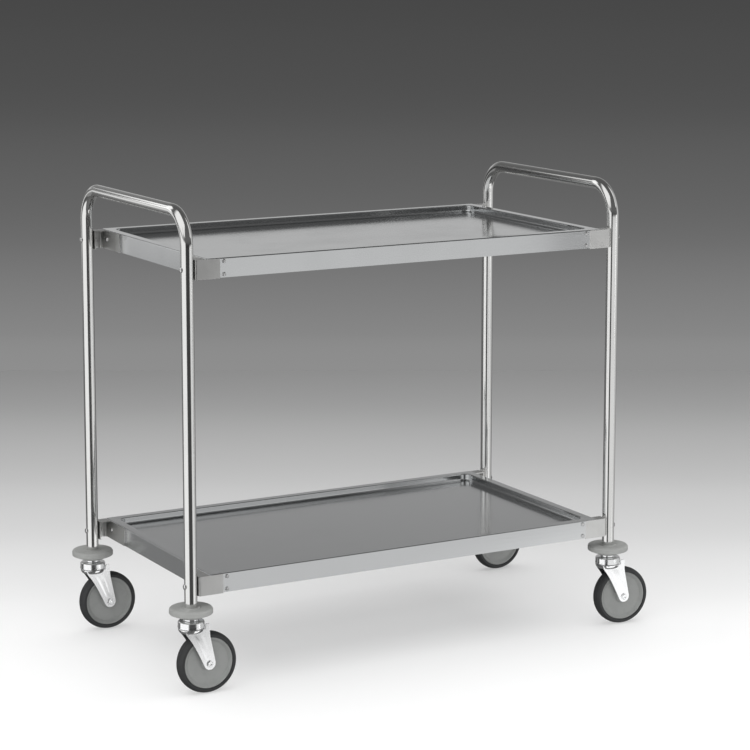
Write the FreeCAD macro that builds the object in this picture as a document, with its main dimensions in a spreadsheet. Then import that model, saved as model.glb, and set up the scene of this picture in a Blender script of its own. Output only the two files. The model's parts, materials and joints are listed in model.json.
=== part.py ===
# Service cart: two inverted-U tube end frames, two pressed tray shelves held in
# corner brackets, and four swivel castors with bumper discs.
# Millimetres, +Z up. The origin is on the floor, at the centre of the footprint
# with all castors trailing towards +X. The long sides face -Y (front) and +Y (rear).
import FreeCAD, Part
import Sketcher
import math
import os

Vector = FreeCAD.Vector
UP = Vector(0, 0, 1)

SIZES = [
    ("leg_spacing_long", 970, "between leg axes, along the cart"),
    ("leg_spacing_wide", 492, "between leg axes, across the cart"),
    ("cart_height", 950, "floor to the top of the handle bars"),
    ("tube_radius", 12.5, "round frame tube, outside"),
    ("tube_wall", 1.5, "wall of the frame tube"),
    ("tube_bend_radius", 65, "centre line of the handle bends"),
    ("handle_rise", 100, "top of the handle bars above the rim of the upper shelf"),
    ("lower_shelf_rise", 70, "rim of the lower shelf above the foot of the legs"),
    ("sheet", 1.2, "sheet of the shelves"),
    ("skirt_height", 38, "outer wall of a shelf"),
    ("rim_width", 20, "flat rim around the tray"),
    ("rim_edge_radius", 2, "rolled outer edge of the rim"),
    ("rim_corner_radius", 4, "outer corners of the rim"),
    ("tray_depth", 14, "tray floor below the rim"),
    ("tray_corner_radius", 18, "inner corners of the tray"),
    ("side_outset", 11, "long shelf side outside the leg axes"),
    ("end_inset", 36, "short shelf side inside the leg axes"),
    ("tab_length", 44, "folded tab behind the short bracket arm"),
    ("tab_drop", 34, "tab below the rim"),
    ("bracket_sheet", 2, "sheet of the corner brackets"),
    ("bracket_drop", 1.5, "bracket plate below the skirt"),
    ("side_arm", 64, "visible bracket plate on the long side, from the leg axis"),
    ("end_arm", 85, "visible bracket plate on the short side, from the leg axis"),
    ("tongue", 16, "bracket tongue behind the end of a skirt"),
    ("tongue_lap", 4, "tongue behind its own plate"),
    ("valley_radius", 8, "bend between the bracket plates"),
    ("fold_radius", 3, "outer bend of the bracket at the leg"),
    ("side_screw_setback", 8, "long side screws past the bracket plate"),
    ("side_screw_margin", 6.5, "long side screws from the rim and the skirt's edge"),
    ("end_screw_setback", 21, "short side screw from the leg axis"),
    ("screw_head_radius", 4, "long side screws"),
    ("screw_head_height", 2.2, "long side screws"),
    ("screw_radius", 2, "long side screws"),
    ("screw_length", 7, "long side screws, under the head"),
    ("end_screw_head_radius", 5, "short side screws"),
    ("end_screw_head_height", 2.8, "short side screws"),
    ("end_screw_radius", 2.5, "short side screws"),
    ("end_screw_length", 8, "short side screws, under the head"),
    ("tube_bolt_radius", 3, "bolt through a leg into its bracket"),
    ("tube_bolt_head_radius", 5.5, "domed head on the outer side of the leg"),
    ("tube_bolt_head_height", 3.2, "domed head on the outer side of the leg"),
    ("tube_bolt_tip", 2, "bolt past its nut"),
    ("tube_nut_radius", 5.8, "across the corners"),
    ("tube_nut_height", 5, "nut behind the bracket"),
    ("hole_clearance", 0.15, "radial, bolt and screw holes"),
    ("stiffener_crown", 60, "width of the hat channel under a tray"),
    ("stiffener_lip", 15, "each spot-welded lip of the channel"),
    ("stiffener_depth", 15, "hat channel below the tray floor"),
    ("stiffener_setback", 40, "ends of the channel inside the tray"),
    ("bumper_radius", 42.5, "bumper disc"),
    ("bumper_height", 20.5, "bumper disc, underside to top face"),
    ("bumper_edge_height", 12.5, "thickness of the disc at its edge"),
    ("bumper_foot_radius", 23, "underside of the disc"),
    ("bumper_floor", 11, "bumper disc under the foot of the leg"),
    ("bumper_edge_rounding", 5, "rounded edge of the disc"),
    ("seat_clearance", 0.1, "radial, leg in bumper and socket in leg"),
    ("socket_gap", 7.4, "expander socket of a leg to the bolt of the lower shelf"),
    ("stem_radius", 5, "threaded stem of a castor"),
    ("stem_setback", 6, "stem below the top of its socket"),
    ("thread_clearance", 0.05, "radial, a thread in its socket or nut"),
    ("spacer_radius", 15, "collar between the head and the bumper"),
    ("spacer_height", 3.5, "collar between the head and the bumper"),
    ("head_radius", 26, "swivel head"),
    ("head_height", 13, "swivel head"),
    ("head_wall", 2, "skirt of the swivel head around the balls"),
    ("ball_radius", 2.5, "balls of the swivel bearing"),
    ("ball_ring_radius", 20, "centres of the balls"),
    ("ball_clearance", 0.05, "above and below the balls"),
    ("ball_groove", 0.5, "radial room beside the balls"),
    ("head_gap", 1, "between the head's skirt and the race of the fork"),
    ("race_radius", 23, "raised race that the balls run on"),
    ("race_height", 4.5, "raised race above the fork crown"),
    ("rivet_radius", 9, "head of the kingpin under the fork crown"),
    ("rivet_height", 3, "head of the kingpin under the fork crown"),
    ("kingpin_clearance", 0.08, "running fit of the fork on the kingpin"),
    ("crown_radius", 26, "round crown of the fork"),
    ("crown_thickness", 4, "round crown of the fork"),
    ("fork_sheet", 2.5, "legs of the fork"),
    ("fork_front", 15, "leg ahead of the swivel axis, at the crown"),
    ("fork_back", 29, "leg behind the swivel axis, at the crown"),
    ("fork_end_radius", 12, "rounded lower end of a leg"),
    ("fork_clearance", 1.5, "between the tyre and a leg"),
    ("wheel_headroom", 6, "between the tyre and the crown"),
    ("fork_rib_width", 12, "raised rib of a leg"),
    ("fork_rib_height", 1, "raised rib of a leg"),
    ("fork_rib_margin", 16, "rib below the crown and above the axle"),
    ("trail", 31, "axle behind the swivel axis"),
    ("wheel_radius", 61, "over the tyre"),
    ("tyre_thickness", 10, "rubber around the wheel centre"),
    ("tyre_width", 28, "rubber tyre"),
    ("tyre_shoulder", 7, "rounded shoulder of the tyre"),
    ("wheel_rim_width", 23, "wheel centre at the tyre"),
    ("wheel_web_width", 12, "recessed disc of the wheel centre"),
    ("wheel_rim_band", 7, "raised ring inside the tyre"),
    ("wheel_hub_radius", 14, "hub of the wheel centre"),
    ("hub_clearance", 0.4, "hub face to fork leg"),
    ("sleeve_radius", 6.5, "sleeve that the wheel turns on"),
    ("sleeve_clearance", 0.08, "running fit of the wheel on its sleeve"),
    ("axle_radius", 3, "axle bolt"),
    ("axle_clearance", 0.08, "axle bolt in its sleeve and fork"),
    ("axle_head_radius", 5.8, "hexagon head, across the corners"),
    ("axle_head_height", 4, "hexagon head"),
    ("axle_nut_height", 5, "hexagon nut"),
    ("axle_tip", 2, "axle bolt past its nut"),
    ("cut_overrun", 5, "how far every cut runs past the metal"),
]

BALL_COUNT = 20
HEX_SIDES = 6
FULL_TURN = 360
DOME_SHARE = 0.6
NEAR_SHARE = 0.001

# How far each free castor is turned from straight trailing, in degrees.
CASTOR_TURNS = {"front_left": -1, "front_right": -6, "rear_left": -2, "rear_right": 0}
CORNERS = {"front_left": (-1, -1), "front_right": (1, -1), "rear_left": (-1, 1), "rear_right": (1, 1)}
ENDS = {"left": -1, "right": 1}


# A length of the sheet, or a sum of such lengths: its value and its expression.
class Length:
    def __init__(self, value, text):
        self.value = value
        self.text = text

    def __add__(self, other):
        return Length(self.value + other.value, f"({self.text} + {other.text})")

    def __sub__(self, other):
        return Length(self.value - other.value, f"({self.text} - {other.text})")

    def __neg__(self):
        return Length(-self.value, f"(-1 * {self.text})")

    def __mul__(self, factor):
        return Length(self.value * factor, f"({self.text} * {factor})")

    def __truediv__(self, factor):
        return Length(self.value / factor, f"({self.text} / {factor})")


class Table:
    pass


ZERO = Length(0, "0")
doc = FreeCAD.newDocument("service_cart")
sheet = doc.addObject("Spreadsheet::Sheet", "Sizes")
size = Table()
for row, (name, value, note) in enumerate(SIZES, start=1):
    sheet.set(f"A{row}", name)
    sheet.set(f"B{row}", str(value))
    sheet.set(f"C{row}", note)
    sheet.setAlias(f"B{row}", name)
    setattr(size, name, Length(value, f"Sizes.{name}"))
doc.recompute()

exported = []


# Bind the named properties of an object to lengths of the sheet.
def bind(item, **lengths):
    for prop, length in lengths.items():
        setattr(item, prop, length.value)
        item.setExpression(prop, length.text)


# Place an object, with its position bound to the sheet.
def place(item, x=ZERO, y=ZERO, z=ZERO, rotation=FreeCAD.Rotation()):
    item.Placement = FreeCAD.Placement(Vector(x.value, y.value, z.value), rotation)
    for axis, length in (("x", x), ("y", y), ("z", z)):
        item.setExpression(f"Placement.Base.{axis}", length.text)


# Register an object as a sub-part under its file's name.
def export_as(item, name):
    item.Label = name
    exported.append(item)
    return item


def origin_feature(body, role):
    return next(f for f in body.Origin.OriginFeatures if f.Role == role)


def new_body(name):
    return export_as(doc.addObject("PartDesign::Body", name), name)


def new_sketch(body, name, role, offset=ZERO):
    sketch = body.newObject("Sketcher::SketchObject", name)
    sketch.AttachmentSupport = [(origin_feature(body, role), "")]
    sketch.MapMode = "FlatFace"
    sketch.AttachmentOffset = FreeCAD.Placement(Vector(0, 0, offset.value), FreeCAD.Rotation())
    sketch.setExpression("AttachmentOffset.Base.z", offset.text)
    return sketch


# Fix one point of a sketch's geometry at a pair of lengths.
def pin_point(sketch, geometry, point, x, y):
    for kind, length in (("DistanceX", x), ("DistanceY", y)):
        index = sketch.addConstraint(Sketcher.Constraint(kind, -1, 1, geometry, point, length.value))
        sketch.setExpression(f"Constraints[{index}]", length.text)


# Give a circle or an arc of a sketch its radius.
def pin_radius(sketch, geometry, radius):
    index = sketch.addConstraint(Sketcher.Constraint("Radius", geometry, radius.value))
    sketch.setExpression(f"Constraints[{index}]", radius.text)


def add_circle(sketch, x, y, radius):
    index = sketch.addGeometry(Part.Circle(Vector(x.value, y.value, 0), UP, radius.value))
    pin_point(sketch, index, 3, x, y)
    pin_radius(sketch, index, radius)


# Which way an axis-parallel edge runs, as a unit step.
def step_between(start, end):
    dx = end[0].value - start[0].value
    dy = end[1].value - start[1].value
    if abs(dx) > abs(dy):
        return math.copysign(1, dx), 0
    return 0, math.copysign(1, dy)


# A chain of lines through corners (x, y) or (x, y, radius). A corner with a radius
# has axis-parallel edges and gets an arc.
def add_chain(sketch, corners, closed):
    count = len(corners)
    spans = []
    arcs = []
    for index, corner in enumerate(corners):
        if len(corner) == 2:
            spans.append((corner, corner))
            continue
        x, y, radius = corner
        before = step_between(corners[index - 1], corner)
        after = step_between(corner, corners[(index + 1) % count])
        entry = (x - radius * before[0], y - radius * before[1])
        leave = (x + radius * after[0], y + radius * after[1])
        spans.append((entry, leave))
        arcs.append((index, entry, leave, before, after, radius))
    lines = []
    for index in range(count if closed else count - 1):
        start = spans[index][1]
        end = spans[(index + 1) % count][0]
        first = Vector(start[0].value, start[1].value, 0)
        last = Vector(end[0].value, end[1].value, 0)
        line = sketch.addGeometry(Part.LineSegment(first, last))
        pin_point(sketch, line, 1, start[0], start[1])
        lines.append(line)
    for index, line in enumerate(lines):
        following = (index + 1) % count
        has_arc = any(arc[0] == following for arc in arcs)
        if closed and not has_arc:
            sketch.addConstraint(Sketcher.Constraint("Coincident", line, 2, lines[following], 1))
        elif not closed and not has_arc and index + 1 < len(lines):
            sketch.addConstraint(Sketcher.Constraint("Coincident", line, 2, lines[index + 1], 1))
        else:
            end = spans[following][0]
            pin_point(sketch, line, 2, end[0], end[1])
    for index, entry, leave, before, after, radius in arcs:
        turns_left = before[0] * after[1] - before[1] * after[0] > 0
        centre = Vector(entry[0].value + radius.value * after[0], entry[1].value + radius.value * after[1], 0)
        first, last = (entry, leave) if turns_left else (leave, entry)
        start_angle = math.atan2(first[1].value - centre.y, first[0].value - centre.x)
        end_angle = math.atan2(last[1].value - centre.y, last[0].value - centre.x)
        circle = Part.Circle(centre, UP, radius.value)
        arc = sketch.addGeometry(Part.ArcOfCircle(circle, start_angle, end_angle))
        arc_entry, arc_leave = (1, 2) if turns_left else (2, 1)
        sketch.addConstraint(Sketcher.Constraint("Coincident", lines[index - 1], 2, arc, arc_entry))
        sketch.addConstraint(Sketcher.Constraint("Coincident", arc, arc_leave, lines[index], 1))
        pin_radius(sketch, arc, radius)


def add_outline(sketch, corners):
    add_chain(sketch, corners, True)


def add_rectangle(sketch, left, right, bottom, top, radius=None):
    corners = [(left, bottom), (right, bottom), (right, top), (left, top)]
    if radius is not None:
        corners = [corner + (radius,) for corner in corners]
    add_outline(sketch, corners)


# A rectangle centred on the sketch's origin.
def add_centred(sketch, half_width, half_height, radius=None):
    add_rectangle(sketch, -half_width, half_width, -half_height, half_height, radius)


# Pad a sketch, along its normal or evenly to both sides.
def pad(body, sketch, length, both_sides=False, reverse=False):
    feature = body.newObject("PartDesign::Pad", f"{sketch.Name}_pad")
    feature.Profile = sketch
    bind(feature, Length=length)
    feature.Midplane = both_sides
    feature.Reversed = reverse
    sketch.Visibility = False
    return feature


# Cut a sketch out of the body and make sure that it removed something.
def pocket(body, sketch, length, both_sides=False, reverse=False):
    doc.recompute()
    before = body.Shape.Volume
    feature = body.newObject("PartDesign::Pocket", f"{sketch.Name}_cut")
    feature.Profile = sketch
    bind(feature, Length=length)
    feature.Midplane = both_sides
    feature.Reversed = reverse
    doc.recompute()
    if not body.Shape.Volume < before:
        raise RuntimeError(f"{feature.Name} cuts nothing")
    return feature


# A full turn of a sketch about an axis of its body's origin.
def revolve(body, sketch, role):
    feature = body.newObject("PartDesign::Revolution", f"{sketch.Name}_turn")
    feature.Profile = sketch
    feature.ReferenceAxis = (origin_feature(body, role), [""])
    feature.Angle = FULL_TURN
    return feature


# Round the edges of a feature that a test picks.
def round_edges(body, base, radius, picks):
    doc.recompute()
    names = [f"Edge{i}" for i, edge in enumerate(base.Shape.Edges, start=1) if picks(edge)]
    feature = body.newObject("PartDesign::Fillet", f"{base.Name}_rounding")
    feature.Base = (base, names)
    bind(feature, Radius=radius)
    return feature


def near(value, length):
    return abs(value - length.value) < length.value * NEAR_SHARE


# Lengths that several pieces share.
leg_x = size.leg_spacing_long / 2
leg_y = size.leg_spacing_wide / 2
centre_x = (size.bumper_radius - size.trail - size.wheel_radius) / 2
handle_height = size.cart_height - size.tube_radius
tray_x = leg_x - size.end_inset
tray_y = leg_y + size.side_outset
well_x = tray_x - size.rim_width
well_y = tray_y - size.rim_width
bracket_top = -size.sheet
bracket_foot = -size.skirt_height - size.bracket_drop
bolt_drop = (size.skirt_height + size.sheet) / 2


# The heights of a castor and of its bumper, from the floor up.
crown_foot = size.wheel_radius + size.wheel_radius + size.wheel_headroom
crown_top = crown_foot + size.crown_thickness
race_top = crown_top + size.race_height
head_foot = race_top + size.head_gap
head_top = head_foot + size.head_height
bumper_foot = head_top + size.spacer_height
bumper_top = bumper_foot + size.bumper_height
leg_foot = bumper_foot + size.bumper_floor
ball_height = race_top + size.ball_radius + size.ball_clearance
fork_inner = size.tyre_width / 2 + size.fork_clearance
fork_outer = fork_inner + size.fork_sheet


# The heights of the shelves, their bolts and the sockets in the legs.
shelf_heights = {"upper": size.cart_height - size.handle_rise, "lower": leg_foot + size.lower_shelf_rise}
tube_bolt_heights = [height - bolt_drop for height in shelf_heights.values()]
socket_height = size.lower_shelf_rise - bolt_drop - size.tube_bolt_radius - size.socket_gap


# One end frame: a single tube bent to an inverted U, with a hole for each shelf bolt.
def make_end_frame(name, side):
    body = new_body(f"end_frame_{name}")
    path = new_sketch(body, f"{name}_frame_path", "YZ_Plane")
    bend = size.tube_bend_radius
    corners = [(-leg_y, leg_foot), (-leg_y, handle_height, bend), (leg_y, handle_height, bend), (leg_y, leg_foot)]
    add_chain(path, corners, False)
    ring = new_sketch(body, f"{name}_frame_ring", "XY_Plane", leg_foot)
    add_circle(ring, ZERO, -leg_y, size.tube_radius)
    add_circle(ring, ZERO, -leg_y, size.tube_radius - size.tube_wall)
    doc.recompute()
    pipe = body.newObject("PartDesign::AdditivePipe", f"{name}_frame_pipe")
    pipe.Profile = ring
    pipe.Spine = (path, [f"Edge{i + 1}" for i in range(len(path.Shape.Edges))])
    holes = new_sketch(body, f"{name}_frame_holes", "YZ_Plane")
    for height in tube_bolt_heights:
        for across in (-leg_y, leg_y):
            add_circle(holes, across, height, size.tube_bolt_radius + size.hole_clearance)
    pocket(body, holes, size.tube_radius + size.tube_radius + size.cut_overrun, both_sides=True)
    place(body, x=centre_x + leg_x * side)


# A shelf: one pressed sheet with a sunk tray, a flat rim and skirts that stop short of
# the corners. Its frame has the rim's top at zero.
def make_tray(level):
    body = new_body(f"{level}_tray")
    block = new_sketch(body, f"{level}_block", "XY_Plane")
    add_centred(block, tray_x, tray_y, size.rim_corner_radius)
    solid = pad(body, block, size.skirt_height, reverse=True)

    def on_rim(edge):
        return edge.BoundBox.ZMin > -size.rim_edge_radius.value

    edge = round_edges(body, solid, size.rim_edge_radius, on_rim)
    body.Tip = edge

    hollow = new_sketch(body, f"{level}_hollow", "XY_Plane", -size.skirt_height)
    add_centred(hollow, tray_x - size.sheet, tray_y - size.sheet)
    pocket(body, hollow, size.skirt_height - size.tray_depth - size.sheet, reverse=True)

    channel = new_sketch(body, f"{level}_channel", "XY_Plane", -size.skirt_height)
    add_centred(channel, tray_x - size.sheet, tray_y - size.sheet)
    outer = size.tray_corner_radius + size.sheet
    add_centred(channel, well_x + size.sheet, well_y + size.sheet, outer)
    pocket(body, channel, size.skirt_height - size.sheet, reverse=True)

    well = new_sketch(body, f"{level}_well", "XY_Plane")
    add_centred(well, well_x, well_y, size.tray_corner_radius)
    pocket(body, well, size.tray_depth)

    corners = new_sketch(body, f"{level}_skirt_ends", "XY_Plane", -size.skirt_height)
    skirt_x = leg_x - size.side_arm
    skirt_y = leg_y - size.end_arm
    inner_x = tray_x - size.sheet
    inner_y = tray_y - size.sheet
    past_x = tray_x + size.cut_overrun
    past_y = tray_y + size.cut_overrun
    for sx, sy in CORNERS.values():
        outline = [(skirt_x, past_y), (skirt_x, inner_y), (inner_x, inner_y),
                   (inner_x, skirt_y), (past_x, skirt_y), (past_x, past_y)]
        add_outline(corners, [(x * sx, y * sy) for x, y in outline])
    pocket(body, corners, size.skirt_height - size.sheet, reverse=True)

    tabs = new_sketch(body, f"{level}_tabs", "XY_Plane", -size.sheet)
    tab_x = tray_x - size.bracket_sheet
    tab_y = leg_y
    for sx, sy in CORNERS.values():
        add_rectangle(tabs, tab_x * sx, (tab_x - size.sheet) * sx, tab_y * sy, (tab_y - size.tab_length) * sy)
    pad(body, tabs, size.tab_drop, reverse=True)

    screw_x = skirt_x - size.side_screw_setback
    for name, side in ENDS.items():
        holes = new_sketch(body, f"{level}_{name}_side_holes", "XZ_Plane", -tray_y * side)
        for x in (-screw_x, screw_x):
            for z in side_screw_heights():
                add_circle(holes, x, z, size.screw_radius + size.hole_clearance)
        pocket(body, holes, size.sheet + size.sheet, reverse=side > 0)

    ends = new_sketch(body, f"{level}_end_holes", "YZ_Plane")
    screw_y = leg_y - size.end_screw_setback
    for y in (-screw_y, screw_y):
        add_circle(ends, y, -bolt_drop, size.end_screw_radius + size.hole_clearance)
    pocket(body, ends, tray_x + tray_x + size.cut_overrun, both_sides=True)
    place(body, x=centre_x, z=shelf_heights[level])


# Heights of the two long side screws of a corner, from the rim.
def side_screw_heights():
    return (-size.side_screw_margin, size.side_screw_margin - size.skirt_height)


# The hat channel spot-welded under a tray floor, along the cart.
def make_stiffener(level):
    body = new_body(f"{level}_stiffener")
    section = new_sketch(body, f"{level}_hat", "YZ_Plane")
    crown = size.stiffener_crown / 2
    lip = crown + size.stiffener_lip
    top = -size.tray_depth - size.sheet
    foot = top - size.stiffener_depth
    wall = size.sheet
    corners = [(-lip, top), (-crown + wall, top), (-crown + wall, foot + wall), (crown - wall, foot + wall),
               (crown - wall, top), (lip, top), (lip, top - wall), (crown, top - wall),
               (crown, foot), (-crown, foot), (-crown, top - wall), (-lip, top - wall)]
    add_outline(section, corners)
    half = well_x - size.stiffener_setback
    pad(body, section, half + half, both_sides=True)
    place(body, x=centre_x, z=shelf_heights[level])


# A corner bracket: a folded flange against the leg, a plate that carries on the long
# skirt, an arm that carries on the short skirt, a tongue behind each skirt, and a web
# across the notch at the leg. Its frame is the shelf's.
def make_bracket(level, corner):
    sx, sy = CORNERS[corner]
    body = new_body(f"{level}_bracket_{corner}")
    plate = size.bracket_sheet
    at_leg = size.tube_radius
    outside = -size.side_outset
    inside = outside + plate
    behind = outside + size.sheet
    end_out = size.end_inset
    end_in = end_out + plate
    end_behind = end_out + size.sheet
    side_lap = size.side_arm - size.tongue_lap
    side_tip = size.side_arm + size.tongue - size.tongue_lap
    end_lap = size.end_arm - size.tongue_lap
    end_tip = size.end_arm + size.tongue - size.tongue_lap

    # Distances inwards from the leg axis: first along the cart, then across it.
    outline = [(at_leg, at_leg), (at_leg, outside, size.fold_radius),
               (size.side_arm, outside), (size.side_arm, behind), (side_tip, behind),
               (side_tip, behind + plate), (side_lap, behind + plate), (side_lap, inside),
               (end_in, inside), (end_in, end_lap), (end_behind + plate, end_lap),
               (end_behind + plate, end_tip), (end_behind, end_tip), (end_behind, size.end_arm),
               (end_out, size.end_arm), (end_out, inside, size.valley_radius),
               (at_leg + plate, inside), (at_leg + plate, at_leg)]

    # A corner's distance from the leg axis, as a place in the shelf's frame.
    def in_shelf(point):
        return ((leg_x - point[0]) * sx, (leg_y - point[1]) * sy) + tuple(point[2:])

    walls = new_sketch(body, f"{level}_{corner}_walls", "XY_Plane", bracket_top)
    add_outline(walls, [in_shelf(point) for point in outline])
    pad(body, walls, bracket_top - bracket_foot, reverse=True)

    web = new_sketch(body, f"{level}_{corner}_web", "XY_Plane", bracket_top)
    web_corners = [(at_leg, inside), (end_in, inside), (end_in, at_leg), (at_leg, at_leg)]
    add_outline(web, [in_shelf(point) for point in web_corners])
    pad(body, web, plate, reverse=True)

    trim = new_sketch(body, f"{level}_{corner}_trim", "XY_Plane", bracket_foot)
    over = size.cut_overrun
    for first, last in (((size.side_arm, behind), (side_tip + over, behind + over)),
                        ((end_behind, size.end_arm), (end_behind + over, end_tip + over))):
        low, high = in_shelf(first), in_shelf(last)
        add_rectangle(trim, low[0], high[0], low[1], high[1])
    pocket(body, trim, size.bracket_drop + size.bracket_drop, reverse=True)

    bolt = new_sketch(body, f"{level}_{corner}_bolt_hole", "YZ_Plane", leg_x * sx)
    add_circle(bolt, leg_y * sy, -bolt_drop, size.tube_bolt_radius + size.hole_clearance)
    pocket(body, bolt, at_leg + plate + plate, reverse=sx < 0)

    screw = new_sketch(body, f"{level}_{corner}_end_hole", "YZ_Plane", (leg_x - end_out) * sx)
    screw_y = (leg_y - size.end_screw_setback) * sy
    add_circle(screw, screw_y, -bolt_drop, size.end_screw_radius + size.hole_clearance)
    pocket(body, screw, plate + plate, reverse=sx < 0)

    sides = new_sketch(body, f"{level}_{corner}_side_holes", "XZ_Plane", -tray_y * sy)
    screw_x = (leg_x - size.side_arm - size.side_screw_setback) * sx
    for z in side_screw_heights():
        add_circle(sides, screw_x, z, size.screw_radius + size.hole_clearance)
    pocket(body, sides, plate + plate, reverse=sy > 0)
    place(body, x=centre_x, z=shelf_heights[level])


# Part primitives along an axis, each with its foot at a distance along that axis.
def along(kind, name, rotation, position, foot, **lengths):
    item = doc.addObject(kind, name)
    bind(item, **lengths)
    direction = rotation.multVec(UP)
    x = position[0] + foot * round(direction.x)
    y = position[1] + foot * round(direction.y)
    z = position[2] + foot * round(direction.z)
    place(item, x, y, z, rotation)
    return item


# A screw or bolt: a head that narrows outwards and a shank, joined. Its seat is under
# the head, and the shank runs along the direction.
def make_screw(name, direction, seat, head_radius, head_height, radius, length):
    rotation = FreeCAD.Rotation(UP, direction)
    shank = along("Part::Cylinder", f"{name}_shank", rotation, seat, -head_height / 2,
                  Radius=radius, Height=length + head_height / 2)
    head = along("Part::Cone", f"{name}_head", rotation, seat, -head_height,
                 Radius1=head_radius * DOME_SHARE, Radius2=head_radius, Height=head_height)
    joined = doc.addObject("Part::Fuse", name)
    joined.Base = head
    joined.Tool = shank
    return joined


def group(name, items):
    compound = doc.addObject("Part::Compound", name)
    compound.Links = items
    return export_as(compound, name)


# The fasteners of both shelves, one group for each kind.
def make_fasteners():
    side_screws = []
    end_screws = []
    bolts = []
    nuts = []
    leg_end = size.tube_radius + size.bracket_sheet
    screw_x = leg_x - size.side_arm - size.side_screw_setback
    screw_y = leg_y - size.end_screw_setback
    bolt_length = size.tube_radius + leg_end + size.tube_nut_height + size.tube_bolt_tip
    for level, height in shelf_heights.items():
        middle = height - bolt_drop
        for corner, (sx, sy) in CORNERS.items():
            name = f"{level}_{corner}"
            inward_x = Vector(-sx, 0, 0)
            inward_y = Vector(0, -sy, 0)
            for index, drop in enumerate(side_screw_heights()):
                seat = (centre_x + screw_x * sx, tray_y * sy, height + drop)
                screw = make_screw(f"{name}_side_screw_{index}", inward_y, seat, size.screw_head_radius,
                                   size.screw_head_height, size.screw_radius, size.screw_length)
                side_screws.append(screw)
            seat = (centre_x + tray_x * sx, screw_y * sy, middle)
            screw = make_screw(f"{name}_end_screw", inward_x, seat, size.end_screw_head_radius,
                               size.end_screw_head_height, size.end_screw_radius, size.end_screw_length)
            end_screws.append(screw)
            seat = (centre_x + (leg_x + size.tube_radius) * sx, leg_y * sy, middle)
            bolt = make_screw(f"{name}_tube_bolt", inward_x, seat, size.tube_bolt_head_radius,
                              size.tube_bolt_head_height, size.tube_bolt_radius, bolt_length)
            bolts.append(bolt)
            seat = (centre_x + (leg_x - leg_end) * sx, leg_y * sy, middle)
            nuts.append(make_nut(f"{name}_tube_nut", inward_x, seat, size.tube_nut_radius,
                                 size.tube_nut_height, size.tube_bolt_radius + size.thread_clearance))
    group("side_screws", side_screws)
    group("end_screws", end_screws)
    group("tube_bolts", bolts)
    group("tube_nuts", nuts)


def make_nut(name, direction, seat, radius, height, bore):
    rotation = FreeCAD.Rotation(UP, direction)
    hexagon = along("Part::Prism", f"{name}_hexagon", rotation, seat, ZERO, Circumradius=radius, Height=height)
    hexagon.Polygon = HEX_SIDES
    hole = along("Part::Cylinder", f"{name}_bore", rotation, seat, -size.cut_overrun,
                 Radius=bore, Height=height + size.cut_overrun + size.cut_overrun)
    nut = doc.addObject("Part::Cut", name)
    nut.Base = hexagon
    nut.Tool = hole
    return nut


# The bumper disc around the foot of a leg, turned about the leg's axis.
def make_bumper(corner):
    body = new_body(f"bumper_{corner}")
    profile = new_sketch(body, f"{corner}_bumper_profile", "XZ_Plane")
    bore = size.stem_radius + size.thread_clearance
    seat = size.tube_radius + size.seat_clearance
    edge_foot = bumper_top - size.bumper_edge_height
    corners = [(bore, bumper_foot), (size.bumper_foot_radius, bumper_foot),
               (size.bumper_radius, edge_foot), (size.bumper_radius, bumper_top),
               (seat, bumper_top), (seat, leg_foot), (bore, leg_foot)]
    add_outline(profile, corners)
    disc = revolve(body, profile, "Z_Axis")

    def on_edge(edge):
        box = edge.BoundBox
        return near(box.XMax, size.bumper_radius) and box.ZLength < box.XLength * NEAR_SHARE

    body.Tip = round_edges(body, disc, size.bumper_edge_rounding, on_edge)
    place_at_leg(body, corner)


# The expander socket pressed into the foot of a leg, threaded for the castor's stem.
def make_socket(corner):
    body = new_body(f"stem_socket_{corner}")
    ring = new_sketch(body, f"{corner}_socket_ring", "XY_Plane", leg_foot)
    add_circle(ring, ZERO, ZERO, size.tube_radius - size.tube_wall - size.seat_clearance)
    add_circle(ring, ZERO, ZERO, size.stem_radius + size.thread_clearance)
    pad(body, ring, socket_height)
    place_at_leg(body, corner)


def place_at_leg(item, corner, rotation=FreeCAD.Rotation()):
    sx, sy = CORNERS[corner]
    place(item, x=centre_x + leg_x * sx, y=leg_y * sy, rotation=rotation)


# A castor's pieces share a frame on the floor below the swivel axis, with the axle
# towards +X, and are turned together.
def place_in_castor(item, corner):
    place_at_leg(item, corner, FreeCAD.Rotation(UP, CASTOR_TURNS[corner]))


# The fixed head of a castor: threaded stem, collar, cup over the balls and the kingpin
# with its rivet head, turned as one piece.
def make_castor_head(corner):
    body = new_body(f"castor_{corner}_head")
    profile = new_sketch(body, f"{corner}_head_profile", "XZ_Plane")
    groove_top = ball_height + size.ball_radius + size.ball_clearance
    groove_room = size.ball_radius + size.ball_groove
    groove_in = size.ball_ring_radius - groove_room
    groove_out = size.ball_ring_radius + groove_room
    stem_top = leg_foot + socket_height - size.stem_setback
    rivet_top = crown_foot - size.kingpin_clearance
    corners = [(ZERO, rivet_top - size.rivet_height), (size.rivet_radius, rivet_top - size.rivet_height),
               (size.rivet_radius, rivet_top), (size.stem_radius, rivet_top), (size.stem_radius, head_foot),
               (groove_in, head_foot), (groove_in, groove_top), (groove_out, groove_top),
               (groove_out, head_foot), (size.head_radius, head_foot), (size.head_radius, head_top),
               (size.spacer_radius, head_top), (size.spacer_radius, bumper_foot),
               (size.stem_radius, bumper_foot), (size.stem_radius, stem_top), (ZERO, stem_top)]
    add_outline(profile, corners)
    turned = revolve(body, profile, "Z_Axis")

    def on_shoulder(edge):
        return near(edge.BoundBox.XMax, size.head_radius) and near(edge.BoundBox.ZMin, head_top)

    body.Tip = round_edges(body, turned, size.head_wall, on_shoulder)
    place_at_leg(body, corner)


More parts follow.
